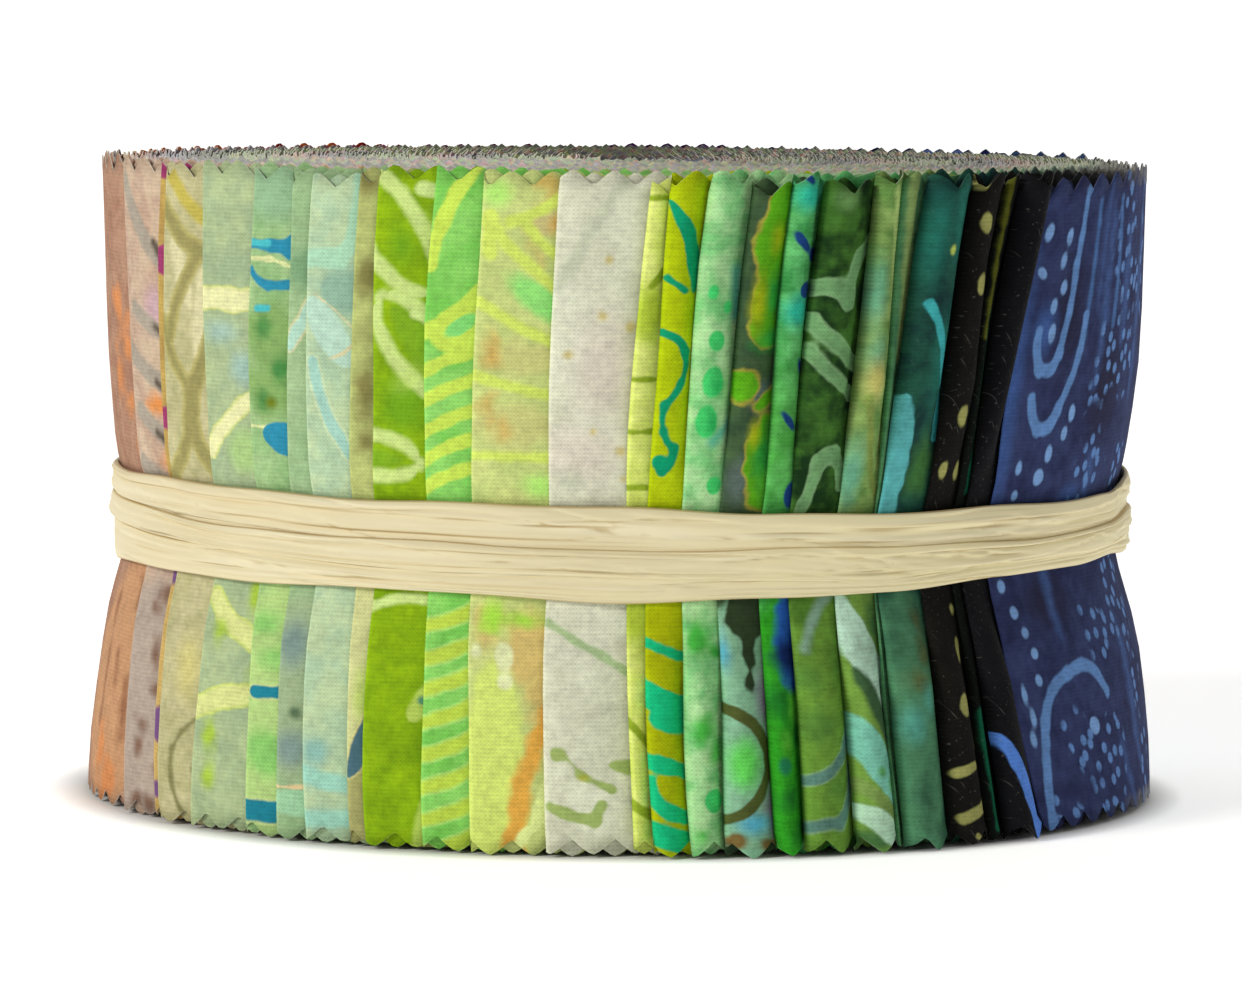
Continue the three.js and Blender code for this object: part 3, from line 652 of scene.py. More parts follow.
def fern(cloth):
    cloth.mottle = 0.6
    cloth.ground((144, 172, 98), (98, 138, 70), 2.8, 43)
    cloth.draw((104, 168, 134), dots=[(0.4, 52, 1.6, 5), (0.6, 35, 2.2, 6), (1, 46, 1.2, 3)], soft=0.9)
    leaves = [(1.4, 62, 2.6, 50, 1.2, 0.3), (4.8, 55, 3.2, 44, 1.4, -0.5), (2.8, 48, 3.6, 37, 1.2, 0.3)]
    cloth.draw((162, 190, 112), petals=leaves, soft=0.3)
    cloth.draw((96, 152, 60), lines=[(4, 52, 3.4, 44, 0.5, -0.3), (3.6, 47, 3.2, 40, 0.6)], soft=0.35)
    cloth.draw((188, 184, 104), dots=[(1.2, 44, 1.8, 3.4)], soft=0.8)
    cloth.draw((128, 148, 74), lines=[(0.8, 42.4, 4, 33, 0.7, -0.4)])
    cloth.draw((116, 156, 66), dots=[(2.5, 11, 12, 26)], soft=0.5)
    cloth.draw((70, 112, 62), dots=[(4.4, 8, 2, 4), (4.4, 21, 2, 4), (1, 1.4, 3, 2)], soft=0.9, rough=0.8)
    cloth.draw((188, 224, 202), petals=[(-0.6, 24.4, 6, 10.4, 3.8)], soft=0.2)
    cloth.draw((124, 196, 174), petals=[(-0.6, 13.2, 5.6, 3, 3.2)], soft=0.2)
    cloth.draw((62, 94, 60), petals=[(0.6, 17.4, 6.4, 6.6, 2)], soft=0.35)
    cloth.draw((182, 220, 190), petals=[(-0.4, 4.6, 6, 0, 2.4)], soft=0.2)
    cloth.draw((124, 154, 80), lines=[(0, 6.6, 6, 2, 1.2)], soft=0.2)
    cloth.draw((96, 168, 96), dots=[(2.2, 7.8, 0.9, 0.9), (3.6, 6.4, 1, 1.4)], soft=0.4)


def pine(cloth):
    cloth.fray = 0.12
    cloth.mottle = 0.6
    cloth.ground((84, 138, 92), (62, 112, 78), 3, 45)
    cloth.draw((138, 164, 98), lines=[(1.2, 64, 1.6, 46, 1.4)], soft=0.4)


def teal(cloth):
    cloth.mottle = 0.6
    cloth.ground((34, 84, 68), (20, 52, 52), 3, 46)
    cloth.draw((34, 112, 98), dots=[(3.8, 59, 2.4, 7), (0.8, 57, 2, 6), (4, 46, 2.4, 7)], soft=1.4)
    cloth.draw((62, 112, 56), dots=[(4, 35.6, 3, 5)], soft=1.1, rough=0.6)
    cloth.draw((188, 208, 96), dots=[(2.9, 56, 0.7, 0.8)])
    cloth.draw((62, 168, 172), lines=[(1.2, 51, 5.8, 38.4, 1, 1)], soft=0.15)
    cloth.draw((88, 172, 174), petals=[(0.5, 42.6, 1, 29, 2.9)], soft=0.2, rough=0.4)
    cloth.draw((78, 132, 96), dots=[(2.5, 11, 12, 26)], soft=1, rough=0.6)
    shades = [(4.6, 21, 2.6, 6), (0.8, 20, 2, 4), (5, 3, 2.4, 7), (2, 5, 2.4, 3), (5.2, 12, 1.6, 4)]
    cloth.draw((44, 86, 66), dots=shades, soft=1.3, rough=1.4, strength=0.8)
    blots = [(2.3, 16, 2.4, 1.5), (3.9, 19.4, 1, 3)]
    cloth.draw((96, 92, 40), dots=blots, soft=0.9, rough=0.9, strength=0.8)
    cloth.draw((84, 158, 140), dots=[(1.4, 11.8, 2.4, 3), (3.4, 14, 1.4, 2)], soft=1)
    cloth.lint(0.35)


def black(cloth):
    cloth.ground((23, 21, 18), (17, 16, 14), 6, 48)
    ovals = [(0.1, 62.2, 1.2, 1.6), (1.2, 58.3, 1.3, 2), (1.6, 52.6, 1.4, 2), (3.2, 44.3, 1.1, 2)]
    ovals += [(1.6, 40.3, 1.3, 2), (1.1, 35.2, 0.9, 1.6), (3.2, 35, 1, 1.6), (3.5, 18.3, 2.3, 1.1, 75)]
    ovals += [(2.3, 13.4, 1.6, 2.3), (4.1, 9.7, 1.5, 2), (3.8, 22, 0.6, 0.9)]
    bars = [(0.6, 7, 2.8, 7.7, 0.9), (0.8, 2.7, 4.6, 3.9, 1.2), (2.2, 1, 3.2, 0.2, 0.4)]
    cloth.draw((156, 156, 92), dots=ovals, lines=bars, soft=0.15, rough=0.2)
    cloth.lint()


def bottle(cloth):
    cloth.ground((9, 16, 12), (8, 12, 10), 5, 50)
    cloth.draw((84, 88, 24), lines=[(0.1, 65, 0.5, 47.6, 0.45, 0.15)], soft=0.2)
    cloth.draw((12, 92, 64), lines=[(1.1, 50, 1.2, 33, 0.5), (0.6, 12.4, 1, 1.6, 0.9)], soft=0.2)
    cloth.lint(0.6)


def jet(cloth):
    cloth.ground((19, 19, 23), (14, 14, 18), 6, 51)
    cloth.draw((86, 134, 220), petals=[(0, 10.4, 3.4, -3.4, 2, 1.2)], soft=0.15)
    cloth.lint()


def navy(cloth):
    cloth.mottle = 0.5
    cloth.ground((40, 46, 84), (54, 64, 106), 5, 52)
    cloth.draw((38, 38, 66), dots=[(8, 49, 5, 9), (9, 22, 7, 6), (18, 42, 7, 10)], soft=2.5, rough=1)
    cloth.draw((62, 90, 150), dots=[(0.4, 42, 2.4, 20), (4, 48, 3, 4), (14, 30, 5, 5)], soft=1.2)
    tails = [(16, 60, 17.6, 48, 0.9, 0.5), (10.4, 60, 11.2, 47, 0.7, 0.3)]
    cloth.draw((72, 108, 162), lines=tails, soft=0.35)
    streaks = [(14, 60, 15, 42, 1.4, 0.5), (20, 58, 21, 46, 1.8), (26, 62, 27, 40, 2)]
    streaks += [(17, 36, 18, 30, 1.6), (12.6, 62, 13.2, 50, 0.8), (23, 20, 24, 4, 2), (18, 8, 20, 1, 1.4)]
    streaks += [(9, 30, 9.6, 18, 1.4)]
    cloth.draw((70, 98, 156), petals=streaks, soft=1, rough=0.6, strength=0.7)
    hooks = [(7.2, 61.2, 7.6, 54, 0.9, 0.2), (7.6, 54, 7, 45.6, 1, 0.4), (7, 45.6, 4.4, 44.2, 1.5, 0.8)]
    hooks += [(4, 44.6, 3.2, 47.8, 1.2, 0.3), (11, 49, 8.4, 40.2, 1.1, 0.8)]
    hooks += [(8.4, 40.2, 5.6, 38.4, 1.5, 0.7), (5.4, 38.6, 3.8, 41.4, 1.3, 0.3)]
    hooks += [(1.4, -0.6, 4, 10.6, 1.3, 0.4), (4, 10.6, 9.4, 15, 1.3, 0.9), (9.4, 15, 16.4, 12.6, 1.4, 1.6)]
    cloth.draw((98, 138, 194), lines=hooks, soft=0.2, rough=0.15)
    drops = [(1.7, 57.2, 1.4, 1.7), (5.4, 56.7, 1, 1.6), (5.2, 54.4, 1, 1.5), (6, 51.9, 1, 1.5)]
    drops += [(4.9, 50.2, 1, 1.5), (5.3, 47.6, 1.1, 1.8), (11.3, 39.8, 1.2, 1.5), (10.4, 37.8, 1.1, 1.3)]
    drops += [(8.1, 36, 1.2, 1.6), (3.4, 34.9, 1, 1.3), (7, 33.8, 1.7, 1.6), (3.6, 32.2, 1, 1)]
    drops += [(1.8, 23.7, 1.2, 1.2), (2.9, 21.2, 1.3, 1.2), (3.8, 19.2, 1.2, 1.1), (4.5, 17.2, 1.1, 1.1)]
    drops += [(4.3, 14.7, 1, 1.1), (1.7, 13.6, 0.8, 1.8), (2.3, 11.2, 0.9, 1.6), (1.6, 9.2, 0.9, 1.5)]
    drops += [(12.5, 9.6, 2, 1.8), (1.9, 53.4, 0.9, 1.6, 60)]
    cloth.draw((122, 160, 212), dots=drops, soft=0.16, rough=0.12)
    rows = cloth.cells(1.9, 53, 0.9, turn=12).between(0.36, 0.2)
    gap = cloth.noise(6, 54, 0.5).between(0.4, 0.48)
    low = cloth.shapes(dots=[(12, 3, 20, 18)], rough=1).inside(0.8)
    far = cloth.shapes(dots=[(22, 30, 16, 80)], rough=1).inside(0.8)
    cloth.dye((98, 136, 194), rows * gap * low.over(far))
    cloth.lint(0.35)


def denim(cloth):
    cloth.ground((78, 106, 156), (58, 84, 132), 6, 54)
    cloth.dye((146, 172, 208), cloth.loops(13, 55, 0.04))
    cloth.dye((36, 56, 100), cloth.cells(7, 56, 0.8).between(0.2, 0.15))


def cornflower(cloth):
    cloth.ground((116, 148, 212), (94, 124, 192), 7, 56)
    cloth.dye((190, 208, 238), cloth.cells(5.5, 57, 0.6).between(0.28, 0.22))
    cloth.blotch((70, 96, 176), 7, 58, 0.58, 0.7)


def indigo(cloth):
    cloth.ground((54, 60, 128), (42, 46, 104), 6, 58)
    cloth.dye((118, 138, 206), cloth.bars(62, 7, 0.2, sway=3, seed=59))
    cloth.blotch((36, 96, 140), 8, 60, 0.58, 0.7)


def violet(cloth):
    cloth.ground((110, 92, 172), (88, 72, 146), 6, 60)
    cloth.dye((172, 158, 216), cloth.loops(12, 61, 0.05))
    cloth.blotch((132, 78, 160), 7, 62, 0.56, 0.7)


def lilac(cloth):
    cloth.ground((176, 154, 208), (150, 128, 190), 7, 62)
    cloth.dye((214, 198, 232), cloth.cells(4.6, 63, 0.8).between(0.34, 0.28))
    cloth.dye((120, 96, 168), cloth.loops(18, 64, 0.02))


def purple(cloth):
    cloth.ground((110, 54, 132), (86, 40, 106), 6, 64)
    cloth.dye((190, 98, 168), cloth.loops(11, 65, 0.045))


def plum(cloth):
    cloth.ground((94, 42, 84), (70, 30, 60), 6, 66)
    cloth.dye((156, 98, 138), cloth.bars(50, 8, 0.16, sway=3.5, seed=67))
    cloth.lint(0.3)


def magenta(cloth):
    cloth.ground((176, 42, 114), (146, 32, 90), 7, 68)
    cloth.dye((228, 126, 172), cloth.loops(13, 69, 0.045))
    cloth.blotch((206, 70, 90), 7, 70, 0.56, 0.7)


def raspberry(cloth):
    cloth.ground((190, 50, 78), (156, 36, 58), 6, 70)
    cloth.dye((232, 136, 126), cloth.cells(5.5, 71, 0.7).between(0.28, 0.22))
    cloth.dye((110, 26, 56), cloth.loops(15, 72, 0.02))


def scarlet(cloth):
    cloth.ground((204, 62, 46), (176, 44, 36), 7, 72)
    cloth.dye((236, 148, 72), cloth.loops(12, 73, 0.05))
    cloth.blotch((226, 104, 52), 6, 74, 0.56, 0.68)


def coral(cloth):
    cloth.ground((228, 122, 92), (208, 96, 70), 7, 74)
    cloth.dye((242, 190, 138), cloth.bars(65, 7, 0.28, sway=3, seed=75))
    cloth.blotch((196, 72, 72), 7, 76, 0.6, 0.72)


def tangerine(cloth):
    cloth.ground((230, 146, 64), (208, 118, 46), 7, 76)
    cloth.dye((244, 202, 116), cloth.loops(13, 77, 0.06))
    cloth.dye((176, 84, 40), cloth.cells(8, 78, 0.9).between(0.14, 0.1))


def rust(cloth):
    cloth.ground((164, 84, 52), (134, 64, 40), 6, 78)
    cloth.dye((212, 138, 78), cloth.loops(11, 79, 0.045))
    cloth.blotch((110, 60, 52), 6, 80, 0.58, 0.7)


def cocoa(cloth):
    cloth.ground((98, 68, 60), (72, 50, 46), 6, 80)
    cloth.dye((158, 116, 88), cloth.cells(5.6, 81, 0.8).between(0.26, 0.2))
    cloth.blotch((120, 74, 50), 7, 82, 0.56, 0.7)


class Strip(NamedTuple):
    """Where a strip's fold lies at the top, the waist and the foot, how far its top edge sits below
    the others, how far its fold puffs out, and the cloth that it is cut from."""

    top: float
    waist: float
    foot: float
    drop: float
    puff: float
    print: Callable


STRIPS = [
    Strip(-88, -85, -88, 0.3, 0.35, terracotta),
    Strip(-69.3, -68.1, -65.2, 0.1, 0.3, peach),
    Strip(-59.4, -60.6, -57.9, 0.5, 0.25, ochre),
    Strip(-57.6, -58.8, -56.3, 0.4, 0.3, khaki),
    Strip(-50.3, -51, -50, 0, 0.3, sage),
    Strip(-42.4, -43.5, -41.8, 0.2, 0.3, pond),
    Strip(-36.9, -38.5, -37.6, 0.4, 0.3, celery),
    Strip(-34.1, -35.4, -33.7, 1, 0.35, mint),
    Strip(-28.6, -30, -28.7, 0.3, 0.35, olive),
    Strip(-26, -27.4, -26.5, 0.2, 0.35, lime),
    Strip(-19.9, -21.2, -20.1, 0, 0.35, apple),
    Strip(-14.7, -16, -15.2, 0.2, 0.35, lemon),
    Strip(-6.6, -7.9, -7.3, 0.3, 0.6, ivory),
    Strip(2.4, 0.6, 1.3, 1, 0.7, citrus),
    Strip(4.6, 2.8, 3.2, 0.3, 1.4, chartreuse),
    Strip(8.5, 6.4, 7.1, 0.2, 2.1, seafoam),
    Strip(12.7, 10.6, 10.5, 1, 1.8, moss),
    Strip(17.2, 15.1, 15.8, 0.2, 2.1, emerald),
    Strip(20.3, 18.2, 18.8, 0.9, 2.4, forest),
    Strip(26.5, 23.9, 24.2, 0.1, 2.7, fern),
    Strip(29.7, 28.4, 29.1, 0.5, 0.8, pine),
    Strip(32.2, 28.8, 29.5, 0.3, 2.5, teal),
    Strip(38.6, 34.8, 35.5, 0.4, 2.3, black),
    Strip(43.1, 39.1, 40.6, 0.7, 1, bottle),
    Strip(45.1, 40.6, 42.4, 0.4, 2.4, jet),
    Strip(50.1, 44.3, 48.3, 1.5, 0.8, navy),
    Strip(110, 109, 111, 0.2, 0.6, denim),
    Strip(123, 122, 122, 0.6, 0.6, cornflower),
    Strip(131, 130.5, 131.5, 0, 0.5, indigo),
    Strip(146, 144.5, 145, 0.3, 0.5, violet),
    Strip(152, 151, 152, 0.9, 0.6, lilac),
    Strip(167, 166, 165.5, 0.1, 0.4, purple),
    Strip(175, 174.5, 175, 0.4, 0.5, plum),
    Strip(189, 188, 189.5, 0.2, 0.5, magenta),
    Strip(201, 200.5, 200, 0.7, 0.5, raspberry),
    Strip(209, 208, 209, 0, 0.5, scarlet),
    Strip(224, 223.5, 224, 0.5, 0.4, coral),
    Strip(233, 232, 232.5, 0.2, 0.4, tangerine),
    Strip(248, 247, 248, 0.8, 0.4, rust),
    Strip(259, 258.5, 257, 0.1, 0.4, cocoa),
]
COUNT = len(STRIPS)


def fold_angle(number, height):
    """The angle of a strip's fold, bending evenly through its three measured ones."""
    strip = STRIPS[number % COUNT]
    low_slope = (strip.waist - strip.foot) / (WAIST - FOOT)
    high_slope = (strip.top - strip.waist) / (TOP - WAIST)
    bend = (high_slope - low_slope) / (TOP - FOOT)
    angle = strip.foot + (height - FOOT) * (low_slope + bend * (height - WAIST))
    return angle + 360.0 * (number // COUNT)


def folds_passed(angle, height):
    """How many folds lie behind an angle, softened near each of them, over any number of turns."""
    turns = np.floor((angle + 90.0) / 360.0)
    rest = angle - 360.0 * turns
    passed = COUNT * (turns - 1.0)
    for number in range(-COUNT, 2 * COUNT):
        passed = passed + smooth((rest - fold_angle(number, height) + SPREAD) / (2 * SPREAD))
    return passed


MIDDLE = 50.0  # the height at which lengths along the cloth are true
CIRCLE = np.arange(0.0, 360.0, 1.0)
EVEN_START = float(np.mean(folds_passed(CIRCLE, MIDDLE) - COUNT * CIRCLE / 360.0))


def outline_radius(height):
    return np.interp(height, PROFILE[:, 0], PROFILE[:, 1])


def turn_radius(number, angle, height):
    """Radius of the middle of a folded strip: it sinks under each further fold."""
    passed = folds_passed(angle, height)
    depth = passed - number - 0.5
    even = EVEN_START + COUNT * angle / 360.0
    layers = depth + smooth(depth / EVEN_DEPTH) * (even - passed)
    looseness = outline_radius(height) - TIGHT_RADIUS
    return TIGHT_RADIUS + looseness * np.exp(-np.maximum(depth, -1.0) / LOOSE) - FOLDED * layers


def wind_all():
    """For even steps along the cloth, the angle that each strip has turned since its fold, and how
    long each half is: to its end, or to the hollow in the middle."""
    steps = int(STRIP_LENGTH / 2 / STEP) + 1
    numbers = np.arange(COUNT)
    starts = np.array([fold_angle(number, MIDDLE) for number in numbers])
    turned = np.zeros((steps, COUNT))
    halves = np.zeros(COUNT)
    for step in range(1, steps):
        radius = turn_radius(numbers, starts + turned[step - 1], MIDDLE)
        turned[step] = turned[step - 1] + np.degrees(STEP / np.maximum(radius, EYE))
        halves = np.where(radius > EYE, step * STEP, halves)
    return np.arange(steps) * STEP, turned, halves


ALONG, TURNED, HALVES = wind_all()


def pinking(along, phase):
    """Depth of the cut below the tooth tips: straight-sided teeth, a little worn at the tips."""
    share = np.mod(along / TOOTH + phase, 1.0)
    straight = 1.0 - np.abs(1.0 - 2.0 * share)
    worn = 1.0 - np.abs(np.sin(math.pi * (share + 0.5)))
    return TOOTH_DEPTH * (STRAIGHT * straight + (1.0 - STRAIGHT) * worn)


def drift(along, seed, size, length):
    """A slow wander along the cloth, between the size and its negative."""
    wave = along / length
    return size * (0.6 * np.sin(wave + seed * 2.4) + 0.4 * np.sin(wave * 2.3 + seed * 5.1))


def stations(number):
    """Distances from the fold at which the mesh has a column: close together where the cloth shows,
    and at the tips and roots of the teeth further in."""
    shown = max(shown_width(number, height) for height in (TOP, WAIST, FOOT)) + BEYOND
    fine = np.arange(STEP, shown, STEP)
    half_tooth = TOOTH / 2
    deep = np.arange(math.ceil(fine[-1] / half_tooth) + 1, int(HALVES[number] / half_tooth))
    return np.array([*NOSE_COLUMNS, *fine]), deep * half_tooth


def shown_width(number, height):
    width = fold_angle(number + 1, height) - fold_angle(number, height)
    return math.radians(width) * float(outline_radius(height))


def puff_at(height):
    """Share of the puff that the tie leaves at a height."""
    return TIED_PUFF + (1.0 - TIED_PUFF) * smooth((np.abs(height - WAIST) - TIE_REACH) / PUFF_RISE)


def layer_points(number, along, heights, side):
    """Points of one layer of a folded strip, on a grid of columns and rows. side is 1 for the outer
    layer, -1 for the inner one and 0 on the fold itself."""
    strip = STRIPS[number]
    waver = sum(size * np.sin(heights / length + number * shift) for size, length, shift in WAVERS)
    fold = fold_angle(number, heights) + np.degrees(waver / TIGHT_RADIUS)
    turned = np.interp(along, ALONG, TURNED[:, number])
    angle = fold[None, :] + turned[:, None]
    height = np.broadcast_to(heights[None, :], angle.shape)
    radius = turn_radius(number, angle, height)

    opening = np.sqrt(np.clip(1.0 - (1.0 - np.minimum(along / NOSE, 1.0)) ** 2, 0.0, 1.0))
    radius = radius + side * FOLDED / 4 * opening[:, None]
    if side > 0:
        widths = np.array([shown_width(number, row) for row in heights])
        share = np.clip(along[:, None] / widths[None, :], 0.0, 1.0)
        # Fullest at three eighths of the way from its fold to the next one, where the swell is 0.94
        swell = share**0.45 * (1.0 - share) ** 0.75 / 0.48
        ripple = 1.0 + 0.16 * np.sin(height / 5.2 + number * 1.9 + 3.0 * share)
        radius = radius + strip.puff * puff_at(height) * swell * ripple

    fade = np.exp(-along / DROP_LENGTH)
    seed = number + 0.5 * side
    sink = strip.drop * fade + (1 - fade) * SINK + drift(along, seed, *SINK_DRIFT)
    sink = np.maximum(sink, 0.0)
    lift = LIFT + drift(along, seed + 9, *LIFT_DRIFT)
    phase = 0.37 * number + 0.25 * side
    z = height.copy()
    z[:, :2] = (lift + pinking(along, phase + 0.2))[:, None]
    z[:, 2] += lift
    z[:, -3] -= sink
    z[:, -2:] = (STRIP_WIDTH - sink - pinking(along, phase))[:, None]
    # The cut edges turn in by the thickness of the cloth
    radius[:, [0, -1]] -= LAYER
    turn = np.radians(angle)
    x = AXIS[0] + radius * np.sin(turn)
    y = AXIS[1] - radius * np.cos(turn)
    return np.stack([x, y, z], axis=-1)


def make_piece(name, points, faces, coordinates, cut, material):
    """A mesh object in metres, with its own place in real size as its UV map."""
    mesh = bpy.data.meshes.new(name)
    mesh.from_pydata((points * MM).tolist(), [], faces)
    layer = mesh.uv_layers.new(name="cloth")
    corners = np.zeros(len(mesh.loops), dtype=np.int32)
    mesh.loops.foreach_get("vertex_index", corners)
    layer.data.foreach_set("uv", (coordinates[corners] * MM).astype(np.float32).ravel())
    # How near a cut edge each point lies, and on the raffia the painted shade in its creases and along its
    # edges
    edge = mesh.attributes.new("cut", "FLOAT", "POINT")
    edge.data.foreach_set("value", cut.astype(np.float32))
    mesh.shade_smooth()
    mesh.materials.append(material)
    mesh.update()
    piece = bpy.data.objects.new(name, mesh)
    bpy.context.scene.collection.objects.link(piece)
    return piece


def folded_strip(number):
    """One strip, from its inner end round its fold to its outer end."""
    strip = STRIPS[number]
    top_row = STRIP_WIDTH - EDGE_ROW
    ends = [0.0, 0.0, EDGE_ROW], [top_row, STRIP_WIDTH, STRIP_WIDTH]
    shown_rows = np.array([*ends[0], *SHOWN_ROWS, *ends[1]])
    deep_rows = np.array([*ends[0], *DEEP_ROWS, *ends[1]])
    fine, deep = stations(number)
    blocks = [
        (-1, deep[::-1], deep_rows),
        (-1, fine[::-1], shown_rows),
        (0, np.array([0.0]), shown_rows),
        (1, fine, shown_rows),
        (1, deep, deep_rows),
    ]
    points, coordinates, cut, columns = [], [], [], []
    start = 0
    for side, along, rows in blocks:
        grid = layer_points(number, along, rows, side)
        points.append(grid.reshape(-1, 3))
        u = np.repeat(along * (side if side else 1), len(rows))
        coordinates.append(np.stack([u, grid[:, :, 2].ravel()], axis=-1))
        edge = np.zeros(len(rows))
        edge[[0, 1, -2, -1]] = [2.0, 1.0, 1.0, 2.0]
        cut.append(np.tile(edge, len(along)))
        for _ in along:
            columns.append(np.arange(start, start + len(rows)))
            start += len(rows)

    middle = [int(np.searchsorted(shown_rows, row)) for row in DEEP_ROWS]
    matching = [0, 1, 2, *middle, *range(len(shown_rows) - 3, len(shown_rows))]
    faces = []
    for left, right in zip(columns, columns[1:]):
        if len(left) == len(right):
            faces.extend(zip(left[:-1], right[:-1], right[1:], left[1:]))
            continue
        for low in range(len(deep_rows) - 1):
            first, last = matching[low], matching[low + 1]
            if len(left) < len(right):
                between = right[first : last + 1]
                faces.append((left[low], *between, left[low + 1]))
            else:
                between = left[first : last + 1][::-1]
                faces.append((*between, right[low], right[low + 1]))
    faces = [tuple(int(corner) for corner in face) for face in faces]

    name = strip.print.__name__
    cloth = Cloth(f"{name}_cotton")
    strip.print(cloth)
    points, coordinates, cut = (np.concatenate(parts) for parts in (points, coordinates, cut))
    title = f"cotton_{number + 1:02d}_{name}"
    piece = make_piece(title, points, faces, coordinates, cut, cloth.weave())
    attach(piece, "root")
    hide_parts(f"strip_{number + 1:02d}_{name}", "wound_roll")
    return piece


# Raffia


class Tie(NamedTuple):
    """Heights of the edges of the tie's three passes at an angle, from the top down."""

    angle: float
    top: float
    upper: float
    lower: float
    foot: float


TIE = [
    Tie(-86, 32.6, 29.9, 27.5, 23.3),
    Tie(-62, 32.5, 29.3, 27.0, 23.9),
    Tie(-45, 32.4, 28.8, 26.6, 23.9),
    Tie(-22, 32.3, 28.5, 25.8, 24.0),
    Tie(0, 32.0, 28.2, 25.8, 23.5),
    Tie(16, 31.6, 28.3, 25.7, 23.8),
    Tie(30, 31.3, 28.1, 25.5, 23.9),
    Tie(45, 31.3, 28.1, 25.9, 24.9),
    Tie(60, 31.2, 28.2, 26.3, 25.1),
    Tie(70, 31.4, 28.4, 26.6, 25.3),
    Tie(80, 32.2, 28.9, 26.6, 24.9),
    Tie(110, 33.0, 29.4, 26.9, 24.0),
    Tie(150, 32.8, 29.7, 26.8, 23.6),
    Tie(190, 32.5, 29.5, 26.9, 23.8),
    Tie(235, 33.0, 29.9, 27.3, 23.7),
    Tie(274, 32.6, 29.9, 27.5, 23.3),
]


class Pass(NamedTuple):
    node: str
    above: str
    below: str
    seat: float  # how far it rides out over the cloth
    hidden: float  # how far its lower edge runs on behind the next pass
    seed: int


PASSES = [
    Pass("raffia_upper", "top", "upper", 0.1, 0.35, 1),
    Pass("raffia_middle", "upper", "lower", 0.28, 0.3, 2),
    Pass("raffia_lower", "lower", "foot", 0.0, 0.0, 3),
]
RAFFIA_RADIUS = 49.55
RAFFIA_THICKNESS = 1.05
RAFFIA_STEPS = 480
RAFFIA_SIDES = 60
NARROWEST = 1.6  # least width of a pass
OVERLAP = 0.1  # how far a pass reaches over each of its heights
CREASES = 84  # of one pass
LONG_EVERY = 6  # every sixth crease is a long one
CREASE_DEPTH = 0.34
CREASE_STEP = 0.2


class Crease(NamedTuple):
    """How many degrees of the round a crease takes, how far it slants, and how strong it is."""

    length: tuple
    slant: tuple
    strength: float


LONG_CREASE = Crease((50.0, 110.0), (-0.7, 0.4), 1.0)
SHORT_CREASE = Crease((9.0, 26.0), (-1.7, 0.9), 0.8)


def tie_height(edge, angle):
    """Height of one edge of the tie at angles all round."""
    angles = np.array([row.angle for row in TIE])
    heights = np.array([getattr(row, edge) for row in TIE])
    held = np.mod(angle - TIE[0].angle, 360.0) + TIE[0].angle
    after = np.clip(np.searchsorted(angles, held, side="right"), 1, len(TIE) - 1)
    share = smooth((held - angles[after - 1]) / (angles[after] - angles[after - 1]))
    return heights[after - 1] + (heights[after] - heights[after - 1]) * share


def raffia_creases(angle, across, seed):
    """Depth of the lengthwise folds in a flattened strand, from 0 to about 1, and the steps that the
    folds leave between one side and the other. across runs from -1 at the foot to 1 at the top."""
    depth = np.zeros_like(angle)
    step = np.zeros_like(angle)
    chance = np.random.default_rng(seed)
    for number in range(CREASES):
        crease = SHORT_CREASE if number % LONG_EVERY else LONG_CREASE
        start = chance.uniform(0.0, 360.0)
        length = chance.uniform(*crease.length)
        place = chance.uniform(-0.8, 0.8)
        slant = chance.uniform(*crease.slant)
        width = chance.uniform(0.04, 0.08)
        strength = chance.uniform(0.35, 1.0) * crease.strength
        share = np.mod(angle - start, 360.0) / length
        rise = np.sin(math.pi * np.clip(share, 0.0, 1.0)) ** 0.6
        held = np.where(share < 1.0, rise, 0.0) * strength
        path = place + slant * (share - 0.5) + 0.04 * np.sin(share * 9.0 + seed)
        away = (across - path) / width
        depth = np.maximum(depth, held * np.exp(-away * away))
        step = step + held * np.tanh(away * 0.9) * np.exp(-np.abs(away) * 0.16)
    return depth, step


